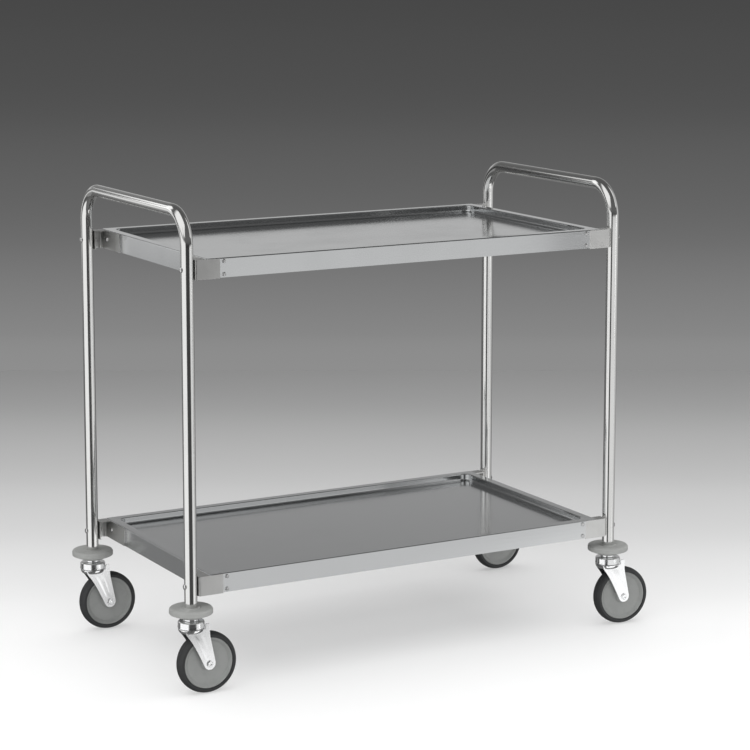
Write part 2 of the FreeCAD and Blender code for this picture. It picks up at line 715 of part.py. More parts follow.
# The ring of balls between the head and the fork crown.
def make_castor_balls(corner):
    balls = []
    for index in range(BALL_COUNT):
        angle = 2 * math.pi * index / BALL_COUNT
        ball = doc.addObject("Part::Sphere", f"{corner}_ball_{index}")
        bind(ball, Radius=size.ball_radius)
        place(ball, size.ball_ring_radius * math.cos(angle), size.ball_ring_radius * math.sin(angle), ball_height)
        balls.append(ball)
    place_at_leg(group(f"castor_{corner}_balls", balls), corner)


# The swivel fork: a round crown with a raised race, and two tapered legs with a rib.
def make_castor_fork(corner):
    body = new_body(f"castor_{corner}_fork")
    disc = new_sketch(body, f"{corner}_crown", "XY_Plane", crown_foot)
    add_circle(disc, ZERO, ZERO, size.crown_radius)
    pad(body, disc, size.crown_thickness)
    race = new_sketch(body, f"{corner}_race", "XY_Plane", crown_top)
    add_circle(race, ZERO, ZERO, size.race_radius)
    pad(body, race, size.race_height)
    side = new_sketch(body, f"{corner}_fork_side", "XZ_Plane")
    add_fork_side(side)
    pad(body, side, fork_outer + fork_outer, both_sides=True)
    rib = new_sketch(body, f"{corner}_fork_rib", "XZ_Plane")
    add_fork_rib(rib)
    rib_outer = fork_outer + size.fork_rib_height
    pad(body, rib, rib_outer + rib_outer, both_sides=True)

    room = new_sketch(body, f"{corner}_fork_room", "XZ_Plane")
    reach = size.crown_radius + size.trail
    floor = size.wheel_radius - size.fork_end_radius - size.cut_overrun
    add_rectangle(room, -reach, reach, floor, crown_foot)
    pocket(body, room, fork_inner + fork_inner, both_sides=True)

    axle = new_sketch(body, f"{corner}_fork_axle_hole", "XZ_Plane")
    add_circle(axle, size.trail, size.wheel_radius, size.axle_radius + size.axle_clearance)
    pocket(body, axle, fork_outer + fork_outer + size.cut_overrun, both_sides=True)

    pin = new_sketch(body, f"{corner}_fork_pin_hole", "XY_Plane", crown_foot - size.cut_overrun)
    add_circle(pin, ZERO, ZERO, size.stem_radius + size.kingpin_clearance)
    pocket(body, pin, race_top - crown_foot + size.cut_overrun + size.cut_overrun, reverse=True)
    place_in_castor(body, corner)


# A fork leg from the side: straight edges from the crown, tangent to the round end.
def add_fork_side(sketch):
    front, back, top = -size.fork_front, size.fork_back, crown_top
    centre = Vector(size.trail.value, size.wheel_radius.value, 0)
    radius = size.fork_end_radius.value
    ends = []
    for corner, turn in ((front, 1), (back, -1)):
        start = Vector(corner.value, top.value, 0)
        reach = (start - centre).Length
        bearing = math.atan2(start.y - centre.y, start.x - centre.x) + turn * math.acos(radius / reach)
        ends.append((start, centre + Vector(math.cos(bearing), math.sin(bearing), 0) * radius, bearing))
    top_line = sketch.addGeometry(Part.LineSegment(ends[1][0], ends[0][0]))
    front_line = sketch.addGeometry(Part.LineSegment(ends[0][0], ends[0][1]))
    end_circle = Part.Circle(centre, UP, radius)
    arc = sketch.addGeometry(Part.ArcOfCircle(end_circle, ends[0][2], ends[1][2] + 2 * math.pi))
    back_line = sketch.addGeometry(Part.LineSegment(ends[1][1], ends[1][0]))
    sketch.addConstraint(Sketcher.Constraint("Coincident", top_line, 2, front_line, 1))
    sketch.addConstraint(Sketcher.Constraint("Coincident", back_line, 2, top_line, 1))
    sketch.addConstraint(Sketcher.Constraint("Tangent", front_line, 2, arc, 1))
    sketch.addConstraint(Sketcher.Constraint("Tangent", arc, 2, back_line, 1))
    pin_point(sketch, top_line, 1, back, top)
    pin_point(sketch, top_line, 2, front, top)
    pin_point(sketch, arc, 3, size.trail, size.wheel_radius)
    pin_radius(sketch, arc, size.fork_end_radius)


# The raised rib of a fork leg, from below the crown to above the axle.
def add_fork_rib(sketch):
    top = crown_top - size.fork_rib_margin
    foot = size.wheel_radius + size.fork_rib_margin
    top_middle = (size.fork_back - size.fork_front) / 2
    half = size.fork_rib_width / 2
    narrow = half / 2
    add_outline(sketch, [(top_middle - half, top), (top_middle + half, top),
                         (size.trail - narrow + half, foot), (size.trail - half, foot)])


# The axle bolt: a hexagon head on the outer side and a plain shank.
def make_castor_axle(corner):
    seat = (size.trail, -fork_outer, size.wheel_radius)
    rotation = FreeCAD.Rotation(UP, Vector(0, 1, 0))
    grip = fork_outer + fork_outer
    shank = along("Part::Cylinder", f"{corner}_axle_shank", rotation, seat, -size.axle_head_height / 2,
                  Radius=size.axle_radius,
                  Height=size.axle_head_height / 2 + grip + size.axle_nut_height + size.axle_tip)
    head = along("Part::Prism", f"{corner}_axle_head", rotation, seat, -size.axle_head_height,
                 Circumradius=size.axle_head_radius, Height=size.axle_head_height)
    head.Polygon = HEX_SIDES
    bolt = doc.addObject("Part::Fuse", f"{corner}_axle_bolt")
    bolt.Base = head
    bolt.Tool = shank
    place_in_castor(group(f"castor_{corner}_axle_bolt", [bolt]), corner)
    nut_seat = (size.trail, fork_outer, size.wheel_radius)
    nut = make_nut(f"{corner}_axle_nut", Vector(0, 1, 0), nut_seat, size.axle_head_radius,
                   size.axle_nut_height, size.axle_radius + size.axle_clearance)
    place_in_castor(group(f"castor_{corner}_axle_nut", [nut]), corner)


# What goes on the axle is drawn about its own axis, the Y axis of its frame, and then
# placed on the axle of its castor, turned as the castor is.
def place_on_axle(body, corner):
    turn = CASTOR_TURNS[corner]
    sx, sy = CORNERS[corner]
    cosine, sine = math.cos(math.radians(turn)), math.sin(math.radians(turn))
    place(body, x=centre_x + leg_x * sx + size.trail * cosine, y=leg_y * sy + size.trail * sine,
          z=size.wheel_radius, rotation=FreeCAD.Rotation(UP, turn))


# The sleeve that the fork legs clamp and the wheel turns on.
def make_castor_sleeve(corner):
    body = new_body(f"castor_{corner}_sleeve")
    ring = new_sketch(body, f"{corner}_sleeve_ring", "XZ_Plane")
    add_circle(ring, ZERO, ZERO, size.sleeve_radius)
    add_circle(ring, ZERO, ZERO, size.axle_radius + size.axle_clearance)
    pad(body, ring, fork_inner + fork_inner, both_sides=True)
    place_on_axle(body, corner)


# The plastic wheel centre: hub, recessed web and a raised ring beside the tyre.
def make_castor_wheel(corner):
    body = new_body(f"castor_{corner}_wheel")
    profile = new_sketch(body, f"{corner}_wheel_profile", "XY_Plane")
    bore = size.sleeve_radius + size.sleeve_clearance
    hub = size.wheel_hub_radius
    outer = size.wheel_radius - size.tyre_thickness
    ring = outer - size.wheel_rim_band
    hub_half = fork_inner - size.hub_clearance
    rim_half = size.wheel_rim_width / 2
    web_half = size.wheel_web_width / 2
    slope = rim_half - web_half
    add_outline(profile, [(bore, -hub_half), (hub, -hub_half), (hub + size.sheet, -web_half),
                          (ring - slope, -web_half), (ring, -rim_half), (outer, -rim_half),
                          (outer, rim_half), (ring, rim_half), (ring - slope, web_half),
                          (hub + size.sheet, web_half), (hub, hub_half), (bore, hub_half)])
    revolve(body, profile, "Y_Axis")
    place_on_axle(body, corner)


# The rubber tyre, with rounded shoulders.
def make_castor_tyre(corner):
    body = new_body(f"castor_{corner}_tyre")
    profile = new_sketch(body, f"{corner}_tyre_profile", "XY_Plane")
    inner = size.wheel_radius - size.tyre_thickness
    half = size.tyre_width / 2
    shoulder = size.tyre_shoulder
    add_outline(profile, [(inner, -half), (size.wheel_radius, -half, shoulder),
                          (size.wheel_radius, half, shoulder), (inner, half)])
    revolve(body, profile, "Y_Axis")
    place_on_axle(body, corner)


for name, side in ENDS.items():
    make_end_frame(name, side)
for level in shelf_heights:
    make_tray(level)
    make_stiffener(level)
    for corner in CORNERS:
        make_bracket(level, corner)
make_fasteners()
for corner in CORNERS:
    make_bumper(corner)
    make_socket(corner)
    make_castor_head(corner)
    make_castor_balls(corner)
    make_castor_fork(corner)
    make_castor_axle(corner)
    make_castor_sleeve(corner)
    make_castor_wheel(corner)
    make_castor_tyre(corner)

doc.recompute()
for item in doc.Objects:
    if "Invalid" in item.State or "Error" in item.State:
        raise RuntimeError(f"{item.Label} failed: {item.getStatusString()}")

os.makedirs("parts", exist_ok=True)
for item in exported:
    shape = item.Shape
    if shape.isNull() or not shape.isValid():
        raise RuntimeError(f"{item.Label} has no valid shape")
    shape.exportStep(f"parts/{item.Label}.step")
    print(item.Label, len(shape.Solids), "solid(s),", round(shape.Volume), "mm3")
print(len(exported), "sub-parts")
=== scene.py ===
# Service cart: modelled pieces, finishes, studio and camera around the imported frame.
import json
import math

import bmesh
import bpy
from mathutils import Matrix, Vector

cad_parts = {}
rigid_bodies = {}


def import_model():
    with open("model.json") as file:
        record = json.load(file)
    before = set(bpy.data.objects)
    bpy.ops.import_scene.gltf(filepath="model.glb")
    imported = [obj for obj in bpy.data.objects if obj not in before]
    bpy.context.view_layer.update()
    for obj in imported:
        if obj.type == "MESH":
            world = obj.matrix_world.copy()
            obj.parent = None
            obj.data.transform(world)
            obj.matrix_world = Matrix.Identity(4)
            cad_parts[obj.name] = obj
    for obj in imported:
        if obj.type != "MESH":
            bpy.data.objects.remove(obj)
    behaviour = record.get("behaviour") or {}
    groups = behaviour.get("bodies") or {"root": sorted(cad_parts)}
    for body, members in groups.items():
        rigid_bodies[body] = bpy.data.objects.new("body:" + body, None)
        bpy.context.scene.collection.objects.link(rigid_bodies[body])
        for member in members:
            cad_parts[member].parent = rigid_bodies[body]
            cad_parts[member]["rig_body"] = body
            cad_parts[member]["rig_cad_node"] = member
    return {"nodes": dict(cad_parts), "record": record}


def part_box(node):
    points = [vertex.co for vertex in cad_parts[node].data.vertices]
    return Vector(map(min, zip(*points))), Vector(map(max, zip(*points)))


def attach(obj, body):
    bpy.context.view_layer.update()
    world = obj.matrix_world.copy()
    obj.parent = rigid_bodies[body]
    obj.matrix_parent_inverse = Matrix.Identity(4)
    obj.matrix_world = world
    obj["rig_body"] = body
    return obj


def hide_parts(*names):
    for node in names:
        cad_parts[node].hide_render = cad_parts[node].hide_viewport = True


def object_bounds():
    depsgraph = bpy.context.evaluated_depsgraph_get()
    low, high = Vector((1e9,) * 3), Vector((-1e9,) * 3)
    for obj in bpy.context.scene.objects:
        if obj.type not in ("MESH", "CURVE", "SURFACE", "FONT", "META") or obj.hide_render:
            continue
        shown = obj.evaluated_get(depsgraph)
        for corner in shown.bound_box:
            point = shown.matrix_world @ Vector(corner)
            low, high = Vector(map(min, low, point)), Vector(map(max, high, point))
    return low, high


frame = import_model()
nodes = frame["nodes"]
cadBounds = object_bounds()

corners = ("front_left", "front_right", "rear_left", "rear_right")
ends = ("left", "right")
levels = ("upper", "lower")
tiny = 1e-5
mergeWithin = 1e-6


# Small helpers for working on one piece at a time

def deselectAll():
    if bpy.context.mode != "OBJECT":
        bpy.ops.object.mode_set(mode="OBJECT")
    bpy.ops.object.select_all(action="DESELECT")


def activate(piece):
    deselectAll()
    piece.select_set(True)
    bpy.context.view_layer.objects.active = piece


def openEdit(piece, kind="VERT", action="DESELECT"):
    activate(piece)
    bpy.ops.object.mode_set(mode="EDIT")
    bpy.ops.mesh.select_mode(type=kind)
    bpy.ops.mesh.select_all(action=action)


def closeEdit():
    bpy.ops.object.mode_set(mode="OBJECT")


# Select what a test picks: by the place of a vertex, or by an edge or a face itself
def pick(piece, kind, test):
    bpy.ops.mesh.select_mode(type=kind)
    bpy.ops.mesh.select_all(action="DESELECT")
    mesh = bmesh.from_edit_mesh(piece.data)
    for part in {"VERT": mesh.verts, "EDGE": mesh.edges, "FACE": mesh.faces}[kind]:
        part.select = test(part.co if kind == "VERT" else part)
    mesh.select_flush_mode()
    bmesh.update_edit_mesh(piece.data)


def extrudeBy(x, y, z):
    bpy.ops.mesh.extrude_edges_move(TRANSFORM_OT_translate={"value": (x, y, z)})


def resizeBy(x, y, centre):
    bpy.ops.transform.resize(value=(x, y, 1), center_override=centre)


def addModifier(piece, kind, **values):
    modifier = piece.modifiers.new(kind.title(), kind)
    for name, value in values.items():
        setattr(modifier, name, value)
    activate(piece)
    bpy.ops.object.modifier_apply(modifier=modifier.name)


def bevelEdges(piece, width, degrees):
    addModifier(piece, "BEVEL", width=width, segments=2, limit_method="ANGLE",
                angle_limit=math.radians(degrees), use_clamp_overlap=True)


def applyPlace(piece):
    activate(piece)
    bpy.ops.object.transform_apply(location=True, rotation=True, scale=True)


def fixNormals(piece):
    openEdit(piece, "VERT", "SELECT")
    bpy.ops.mesh.remove_doubles(threshold=mergeWithin)
    bpy.ops.mesh.normals_make_consistent(inside=False)
    closeEdit()


def smoothPiece(piece, degrees=32, weighted=True):
    activate(piece)
    bpy.ops.object.shade_smooth_by_angle(angle=math.radians(degrees))
    if weighted:
        addModifier(piece, "WEIGHTED_NORMAL", weight=80, keep_sharp=True)


def joinPieces(pieces, name):
    activate(pieces[0])
    for piece in pieces:
        piece.select_set(True)
    bpy.ops.object.join()
    pieces[0].name = name
    return pieces[0]


def copyPiece(piece, name, place):
    twin = piece.copy()
    twin.data = piece.data.copy()
    twin.data.transform(place)
    twin.name = name
    bpy.context.scene.collection.objects.link(twin)
    return twin


def removePiece(piece):
    bpy.data.objects.remove(piece)


def finishPiece(piece, name, body, slotName, *replaced):
    piece.name = name
    piece.data.name = name
    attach(piece, body)
    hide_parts(*replaced)
    setFinish(piece, slotName)


# Points of a rounded corner of a turned profile, from one angle to another in degrees
def roundProfile(middle, radius, start, end, steps):
    points = []
    for step in range(steps + 1):
        angle = math.radians(start + (end - start) * step / steps)
        points.append((middle[0] + radius * math.cos(angle), middle[1] + radius * math.sin(angle)))
    return points


# Turn a profile of (radius, height) points about the Z axis: one ring, then extrude and scale
def turnProfile(name, profile, sides, capEnds=False):
    deselectAll()
    radius, height = profile[0]
    bpy.ops.mesh.primitive_circle_add(vertices=sides, radius=radius, location=(0, 0, height))
    piece = bpy.context.active_object
    piece.name = name
    applyPlace(piece)
    openEdit(piece, "EDGE", "SELECT")
    if capEnds:
        bpy.ops.mesh.edge_face_add()
        pick(piece, "EDGE", lambda edge: True)
    for nextRadius, nextHeight in profile[1:]:
        extrudeBy(0, 0, nextHeight - height)
        scale = nextRadius / radius
        resizeBy(scale, scale, (0, 0, nextHeight))
        radius, height = nextRadius, nextHeight
    if capEnds:
        bpy.ops.mesh.edge_face_add()
    closeEdit()
    fixNormals(piece)
    return piece


# A copy of a frame node with its edges rounded; the angles are in degrees
rounded = {"flatWithin": 1, "roundFrom": 30, "smooth": 40}


def roundedCopy(node, name, width):
    piece = nodes[node].copy()
    piece.data = nodes[node].data.copy()
    bpy.context.scene.collection.objects.link(piece)
    piece.parent = None
    piece.name = name
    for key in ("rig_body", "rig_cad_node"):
        if key in piece:
            del piece[key]
    openEdit(piece, "VERT", "SELECT")
    bpy.ops.mesh.remove_doubles(threshold=tiny)
    bpy.ops.mesh.customdata_custom_splitnormals_clear()
    bpy.ops.mesh.dissolve_limited(angle_limit=math.radians(rounded["flatWithin"]))
    closeEdit()
    bevelEdges(piece, width, rounded["roundFrom"])
    smoothPiece(piece, rounded["smooth"])
    return piece


# Helpers for materials: each input of a node is given a value or linked to a socket

def setInputs(tree, node, inputs):
    for key, value in inputs.items():
        if isinstance(value, bpy.types.NodeSocket):
            tree.links.new(value, node.inputs[key])
        else:
            node.inputs[key].default_value = value


def addNode(tree, kind, inputs, **settings):
    node = tree.nodes.new("ShaderNode" + kind)
    for name, value in settings.items():
        setattr(node, name, value)
    setInputs(tree, node, inputs)
    return node


def mathNode(tree, operation, first, second):
    return addNode(tree, "Math", {0: first, 1: second}, operation=operation).outputs[0]


# A value moved by an amount times a factor
def shiftNode(tree, value, amount, factor, operation="ADD"):
    return mathNode(tree, operation, value, mathNode(tree, "MULTIPLY", amount, factor))


def noiseNode(tree, vector, scale, detail, roughness=0.5):
    inputs = {"Vector": vector, "Scale": scale, "Detail": detail, "Roughness": roughness}
    return addNode(tree, "TexNoise", inputs).outputs["Fac"]


def rangeNode(tree, value, start, end, kind="LINEAR"):
    inputs = {"Value": value, "From Min": start, "From Max": end}
    return addNode(tree, "MapRange", inputs, interpolation_type=kind).outputs["Result"]


def stretchNode(tree, vector, scale):
    return addNode(tree, "Mapping", {"Vector": vector, "Scale": scale}).outputs["Vector"]


# A colour made brighter or darker
def tintNode(tree, colour, shade):
    return addNode(tree, "VectorMath", {0: colour, "Scale": shade}, operation="SCALE").outputs[0]


def bumpNode(tree, height, distance, strength, below=None):
    inputs = {"Height": height, "Distance": distance, "Strength": strength}
    if below is not None:
        inputs["Normal"] = below
    return addNode(tree, "Bump", inputs).outputs["Normal"]


def objectVector(tree):
    return tree.nodes.new("ShaderNodeTexCoord").outputs["Object"]


def newMaterial(name, kind="BsdfPrincipled"):
    material = bpy.data.materials.new(name)
    material.use_nodes = True
    tree = material.node_tree
    tree.nodes.clear()
    shader = addNode(tree, kind, {})
    addNode(tree, "OutputMaterial", {"Surface": shader.outputs[0]})
    return material, tree, shader


# Finishes: the shared groups first. Each takes a vector, a colour and named values, and puts out a
# colour, a roughness and one value more

def newGroup(name, values, last):
    group = bpy.data.node_groups.new(name, "ShaderNodeTree")
    sockets = [("Vector", "INPUT", "Vector"), ("Colour", "INPUT", "Color")]
    sockets += [(value, "INPUT", "Float") for value in values]
    sockets += [("Colour", "OUTPUT", "Color"), ("Roughness", "OUTPUT", "Float"), (last, "OUTPUT", "Float")]
    for socketName, side, kind in sockets:
        group.interface.new_socket(socketName, in_out=side, socket_type="NodeSocket" + kind)
    return group, group.nodes.new("NodeGroupInput").outputs


def endGroup(group, *results):
    leave = group.nodes.new("NodeGroupOutput")
    for result, socket in zip(results, leave.inputs):
        group.links.new(result, socket)
    return group


# Drawn or ground lines: fine noise stretched along one direction, with a broader one over it
grainNoise = {"detail": 3, "roughness": 0.6, "broadStretch": (0.22, 0.22, 0.6), "broadDetail": 2}


def buildGrainGroup():
    group, given = newGroup("drawnGrain", ("Tone", "Base Roughness", "Roughness Swing"), "Height")
    fine = noiseNode(group, given["Vector"], 1.0, grainNoise["detail"], grainNoise["roughness"])
    stretched = stretchNode(group, given["Vector"], grainNoise["broadStretch"])
    broad = noiseNode(group, stretched, 1.0, grainNoise["broadDetail"])
    swing = mathNode(group, "ADD", mathNode(group, "SUBTRACT", fine, 0.5),
                     mathNode(group, "SUBTRACT", broad, 0.5))
    colour = tintNode(group, given["Colour"], shiftNode(group, 1.0, swing, given["Tone"]))
    rough = shiftNode(group, given["Base Roughness"], swing, given["Roughness Swing"])
    return endGroup(group, colour, rough, fine)


# Faint handling marks and dust: soft patches that darken and dull the surface a little
markNoise = {"detail": 6, "roughness": 0.62, "from": 0.48, "to": 0.74}


def buildMarksGroup():
    group, given = newGroup("handlingMarks", ("Size", "Roughness", "Darkening", "Dulling"), "Mask")
    noise = noiseNode(group, given["Vector"], given["Size"], markNoise["detail"], markNoise["roughness"])
    mask = rangeNode(group, noise, markNoise["from"], markNoise["to"])
    colour = tintNode(group, given["Colour"], shiftNode(group, 1.0, mask, given["Darkening"], "SUBTRACT"))
    return endGroup(group, colour, shiftNode(group, given["Roughness"], mask, given["Dulling"]), mask)


# Moulded skin: a fine even pitting with a slow change of tone
skinNoise = {"scale": 45.0, "detail": 5, "roughness": 0.6}


def buildMouldedGroup():
    group, given = newGroup("mouldedSkin", ("Grain Size", "Tone", "Base Roughness", "Roughness Swing"),
                            "Height")
    pits = addNode(group, "TexVoronoi", {"Vector": given["Vector"], "Scale": given["Grain Size"]},
                   feature="SMOOTH_F1")
    cloud = noiseNode(group, given["Vector"], *skinNoise.values())
    swing = mathNode(group, "SUBTRACT", cloud, 0.5)
    colour = tintNode(group, given["Colour"], shiftNode(group, 1.0, swing, given["Tone"]))
    rough = shiftNode(group, given["Base Roughness"], swing, given["Roughness Swing"])
    return endGroup(group, colour, rough, pits.outputs["Distance"])


grainGroup = buildGrainGroup()
marksGroup = buildMarksGroup()
mouldedGroup = buildMouldedGroup()

# Metals: stretched grain, faint marks and, on sheet, a slow waviness of the surface
metalKeys = ("colour", "stretch", "byUv", "tone", "roughness", "swing", "grain", "marks", "darkening",
             "dulling", "wave")
metalFinishes = {
    "polished_tube": ((0.80, 0.80, 0.79, 1), (1100, 5, 1), True, 0.05, 0.11, 0.03, 0.05, 9.0, 0.04, 0.05,
                      0.0),
    "shelf_steel": ((0.60, 0.61, 0.615, 1), (7, 900, 900), False, 0.04, 0.14, 0.03, 0.04, 7.0, 0.03, 0.03,
                    0.03),
    "bracket_steel": ((0.66, 0.66, 0.65, 1), (900, 900, 12), False, 0.05, 0.38, 0.05, 0.06, 30.0, 0.05,
                      0.05, 0.0),
    "screw_steel": ((0.70, 0.70, 0.70, 1), (700, 700, 700), False, 0.08, 0.22, 0.08, 0.10, 160.0, 0.12,
                    0.10, 0.0),
    "zinc_steel": ((0.95, 0.955, 0.96, 1), (420, 420, 60), False, 0.03, 0.16, 0.03, 0.03, 60.0, 0.02,
                   0.04, 0.0),
}
grainDepth = 0.00002
sheetWave = {"scale": 3.0, "detail": 1, "depth": 0.0006}

# Plastics and rubber: moulded skin with a little sheen
mouldedKeys = ("colour", "grainSize", "tone", "roughness", "swing", "pit", "pitDepth", "specular")
mouldedFinishes = {
    "bumper_plastic": ((0.33, 0.335, 0.325, 1), 1500.0, 0.10, 0.46, 0.16, 0.20, 0.00005, 0.45),
    "wheel_plastic": ((0.28, 0.287, 0.28, 1), 1300.0, 0.10, 0.40, 0.14, 0.16, 0.00004, 0.45),
    "tyre_rubber": ((0.028, 0.029, 0.030, 1), 800.0, 0.35, 0.55, 0.20, 0.30, 0.00008, 0.40),
}
mouldedMarks = {"marks": 70.0, "darkening": 0.08, "dulling": 0.10}


# Marks over a finish, whose colour and roughness then go to the shader
def addMarks(tree, shader, below, place, look):
    marks = addNode(tree, "Group", {
        "Vector": place, "Colour": below.outputs["Colour"], "Roughness": below.outputs["Roughness"],
        "Size": look["marks"], "Darkening": look["darkening"], "Dulling": look["dulling"]},
        node_tree=marksGroup)
    setInputs(tree, shader, {"Base Color": marks.outputs["Colour"], "Roughness": marks.outputs["Roughness"]})


def buildMetal(name, look):
    material, tree, shader = newMaterial(name)
    place = objectVector(tree)
    along = addNode(tree, "UVMap", {}, uv_map="alongTube").outputs["UV"] if look["byUv"] else place
    grain = addNode(tree, "Group", {
        "Vector": stretchNode(tree, along, look["stretch"]), "Colour": look["colour"], "Tone": look["tone"],
        "Base Roughness": look["roughness"], "Roughness Swing": look["swing"]}, node_tree=grainGroup)
    addMarks(tree, shader, grain, place, look)
    waved = None
    if look["wave"]:
        waves = noiseNode(tree, place, sheetWave["scale"], sheetWave["detail"])
        waved = bumpNode(tree, waves, sheetWave["depth"], look["wave"])
    normal = bumpNode(tree, grain.outputs["Height"], grainDepth, look["grain"], waved)
    setInputs(tree, shader, {"Metallic": 1.0, "Normal": normal})
    return material


def buildMoulded(name, look):
    material, tree, shader = newMaterial(name)
    place = objectVector(tree)
    skin = addNode(tree, "Group", {
        "Vector": place, "Colour": look["colour"], "Grain Size": look["grainSize"], "Tone": look["tone"],
        "Base Roughness": look["roughness"], "Roughness Swing": look["swing"]}, node_tree=mouldedGroup)
    addMarks(tree, shader, skin, place, mouldedMarks)
    normal = bumpNode(tree, skin.outputs["Height"], look["pitDepth"], look["pit"])
    setInputs(tree, shader, {"Specular IOR Level": look["specular"], "Normal": normal})
    return material


materials = {name: buildMetal(name, dict(zip(metalKeys, row))) for name, row in metalFinishes.items()}
for name, row in mouldedFinishes.items():
    materials[name] = buildMoulded(name, dict(zip(mouldedKeys, row)))


def setFinish(piece, slotName):
    piece.data.materials.clear()
    piece.data.materials.append(materials[slotName])


# The frame's own nodes get the same finishes; the tube's needs the map that only its own piece has
for subpart in frame["record"]["subparts"]:
    finish = subpart["material_slot"]
    if finish == "polished_tube":
        continue
    for slot in nodes[subpart["node"]].material_slots:
        slot.material = materials[finish]
print("stage: finishes ready")


# End frames: one tube bent twice

tube = {"radius": 0.0125, "wall": 0.0015, "bend": 0.065, "sides": 64, "bendSteps": 28, "smooth": 40}


# Length along the bent tube and distance around it, for a point on its skin
def alongFrame(point, axisX, legY, footZ, barZ):
    bendZ = barZ - tube["bend"]
    bendY = legY - tube["bend"]
    side = -1 if point.y < 0 else 1
    legLength = bendZ - footZ
    arcLength = tube["bend"] * math.pi / 2
    if point.z <= bendZ:
        length = point.z - footZ
        outward = side * point.y - legY
    elif side * point.y > bendY:
        outY = side * point.y - bendY
        outZ = point.z - bendZ
        length = legLength + tube["bend"] * math.atan2(outZ, outY)
        outward = math.hypot(outY, outZ) - tube["bend"]
    else:
        length = legLength + arcLength + bendY - side * point.y
        outward = point.z - barZ
    total = 2 * (legLength + arcLength + bendY)
    length = length if side < 0 else total - length
    return length, math.atan2(point.x - axisX, outward)


def makeEndFrame(end):
    low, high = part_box(f"end_frame_{end}")
    radius = tube["radius"]
    axisX = (low[0] + high[0]) / 2
    legY = high[1] - radius
    barZ = high[2] - radius
    footZ = low[2]
    bendZ = barZ - tube["bend"]
    bendY = legY - tube["bend"]
    deselectAll()
    bpy.ops.mesh.primitive_circle_add(vertices=tube["sides"], radius=radius, location=(axisX, -legY, footZ))
    piece = bpy.context.active_object
    applyPlace(piece)
    openEdit(piece, "EDGE", "SELECT")
    extrudeBy(0, 0, bendZ - footZ)
    for centreY, move in ((-bendY, (0, 2 * bendY, 0)), (bendY, (0, 0, footZ - bendZ))):
        bpy.ops.mesh.spin(steps=tube["bendSteps"], angle=math.pi / 2, center=(axisX, centreY, bendZ),
                          axis=(1, 0, 0))
        extrudeBy(*move)
    closeEdit()
    fixNormals(piece)

    uvLayer = piece.data.uv_layers.new(name="alongTube")
    for face in piece.data.polygons:
        spots = [alongFrame(piece.data.vertices[i].co, axisX, legY, footZ, barZ) for i in face.vertices]
        wraps = max(spot[1] for spot in spots) - min(spot[1] for spot in spots) > math.pi
        for loop, (length, angle) in zip(face.loop_indices, spots):
            if wraps and angle < 0:
                angle += 2 * math.pi
            uvLayer.data[loop].uv = (angle * radius, length)

    addModifier(piece, "SOLIDIFY", thickness=tube["wall"], offset=-1.0, use_even_offset=True)
    smoothPiece(piece, tube["smooth"], weighted=False)
    finishPiece(piece, f"endFrame_{end}", "cart", "polished_tube", f"end_frame_{end}")


for end in ends:
    makeEndFrame(end)
print("stage: end frames bent")


# Shelves: pressed sheet with a sunk tray, flat rim and skirts; each roll is (width, steps), and edges
# that turn by more than foldAngle are folds

tray = {"rim": 0.020, "depth": 0.014, "wellRadius": 0.018, "wellSteps": 8, "cornerRadius": 0.004,
        "skirtEndX": 0.028, "skirtEndY": 0.096, "sheet": 0.0012, "foldAngle": 0.5, "smooth": 35,
        "edgeRoll": (0.0022, 4), "lipRoll": (0.0026, 4), "floorRoll": (0.0045, 5)}


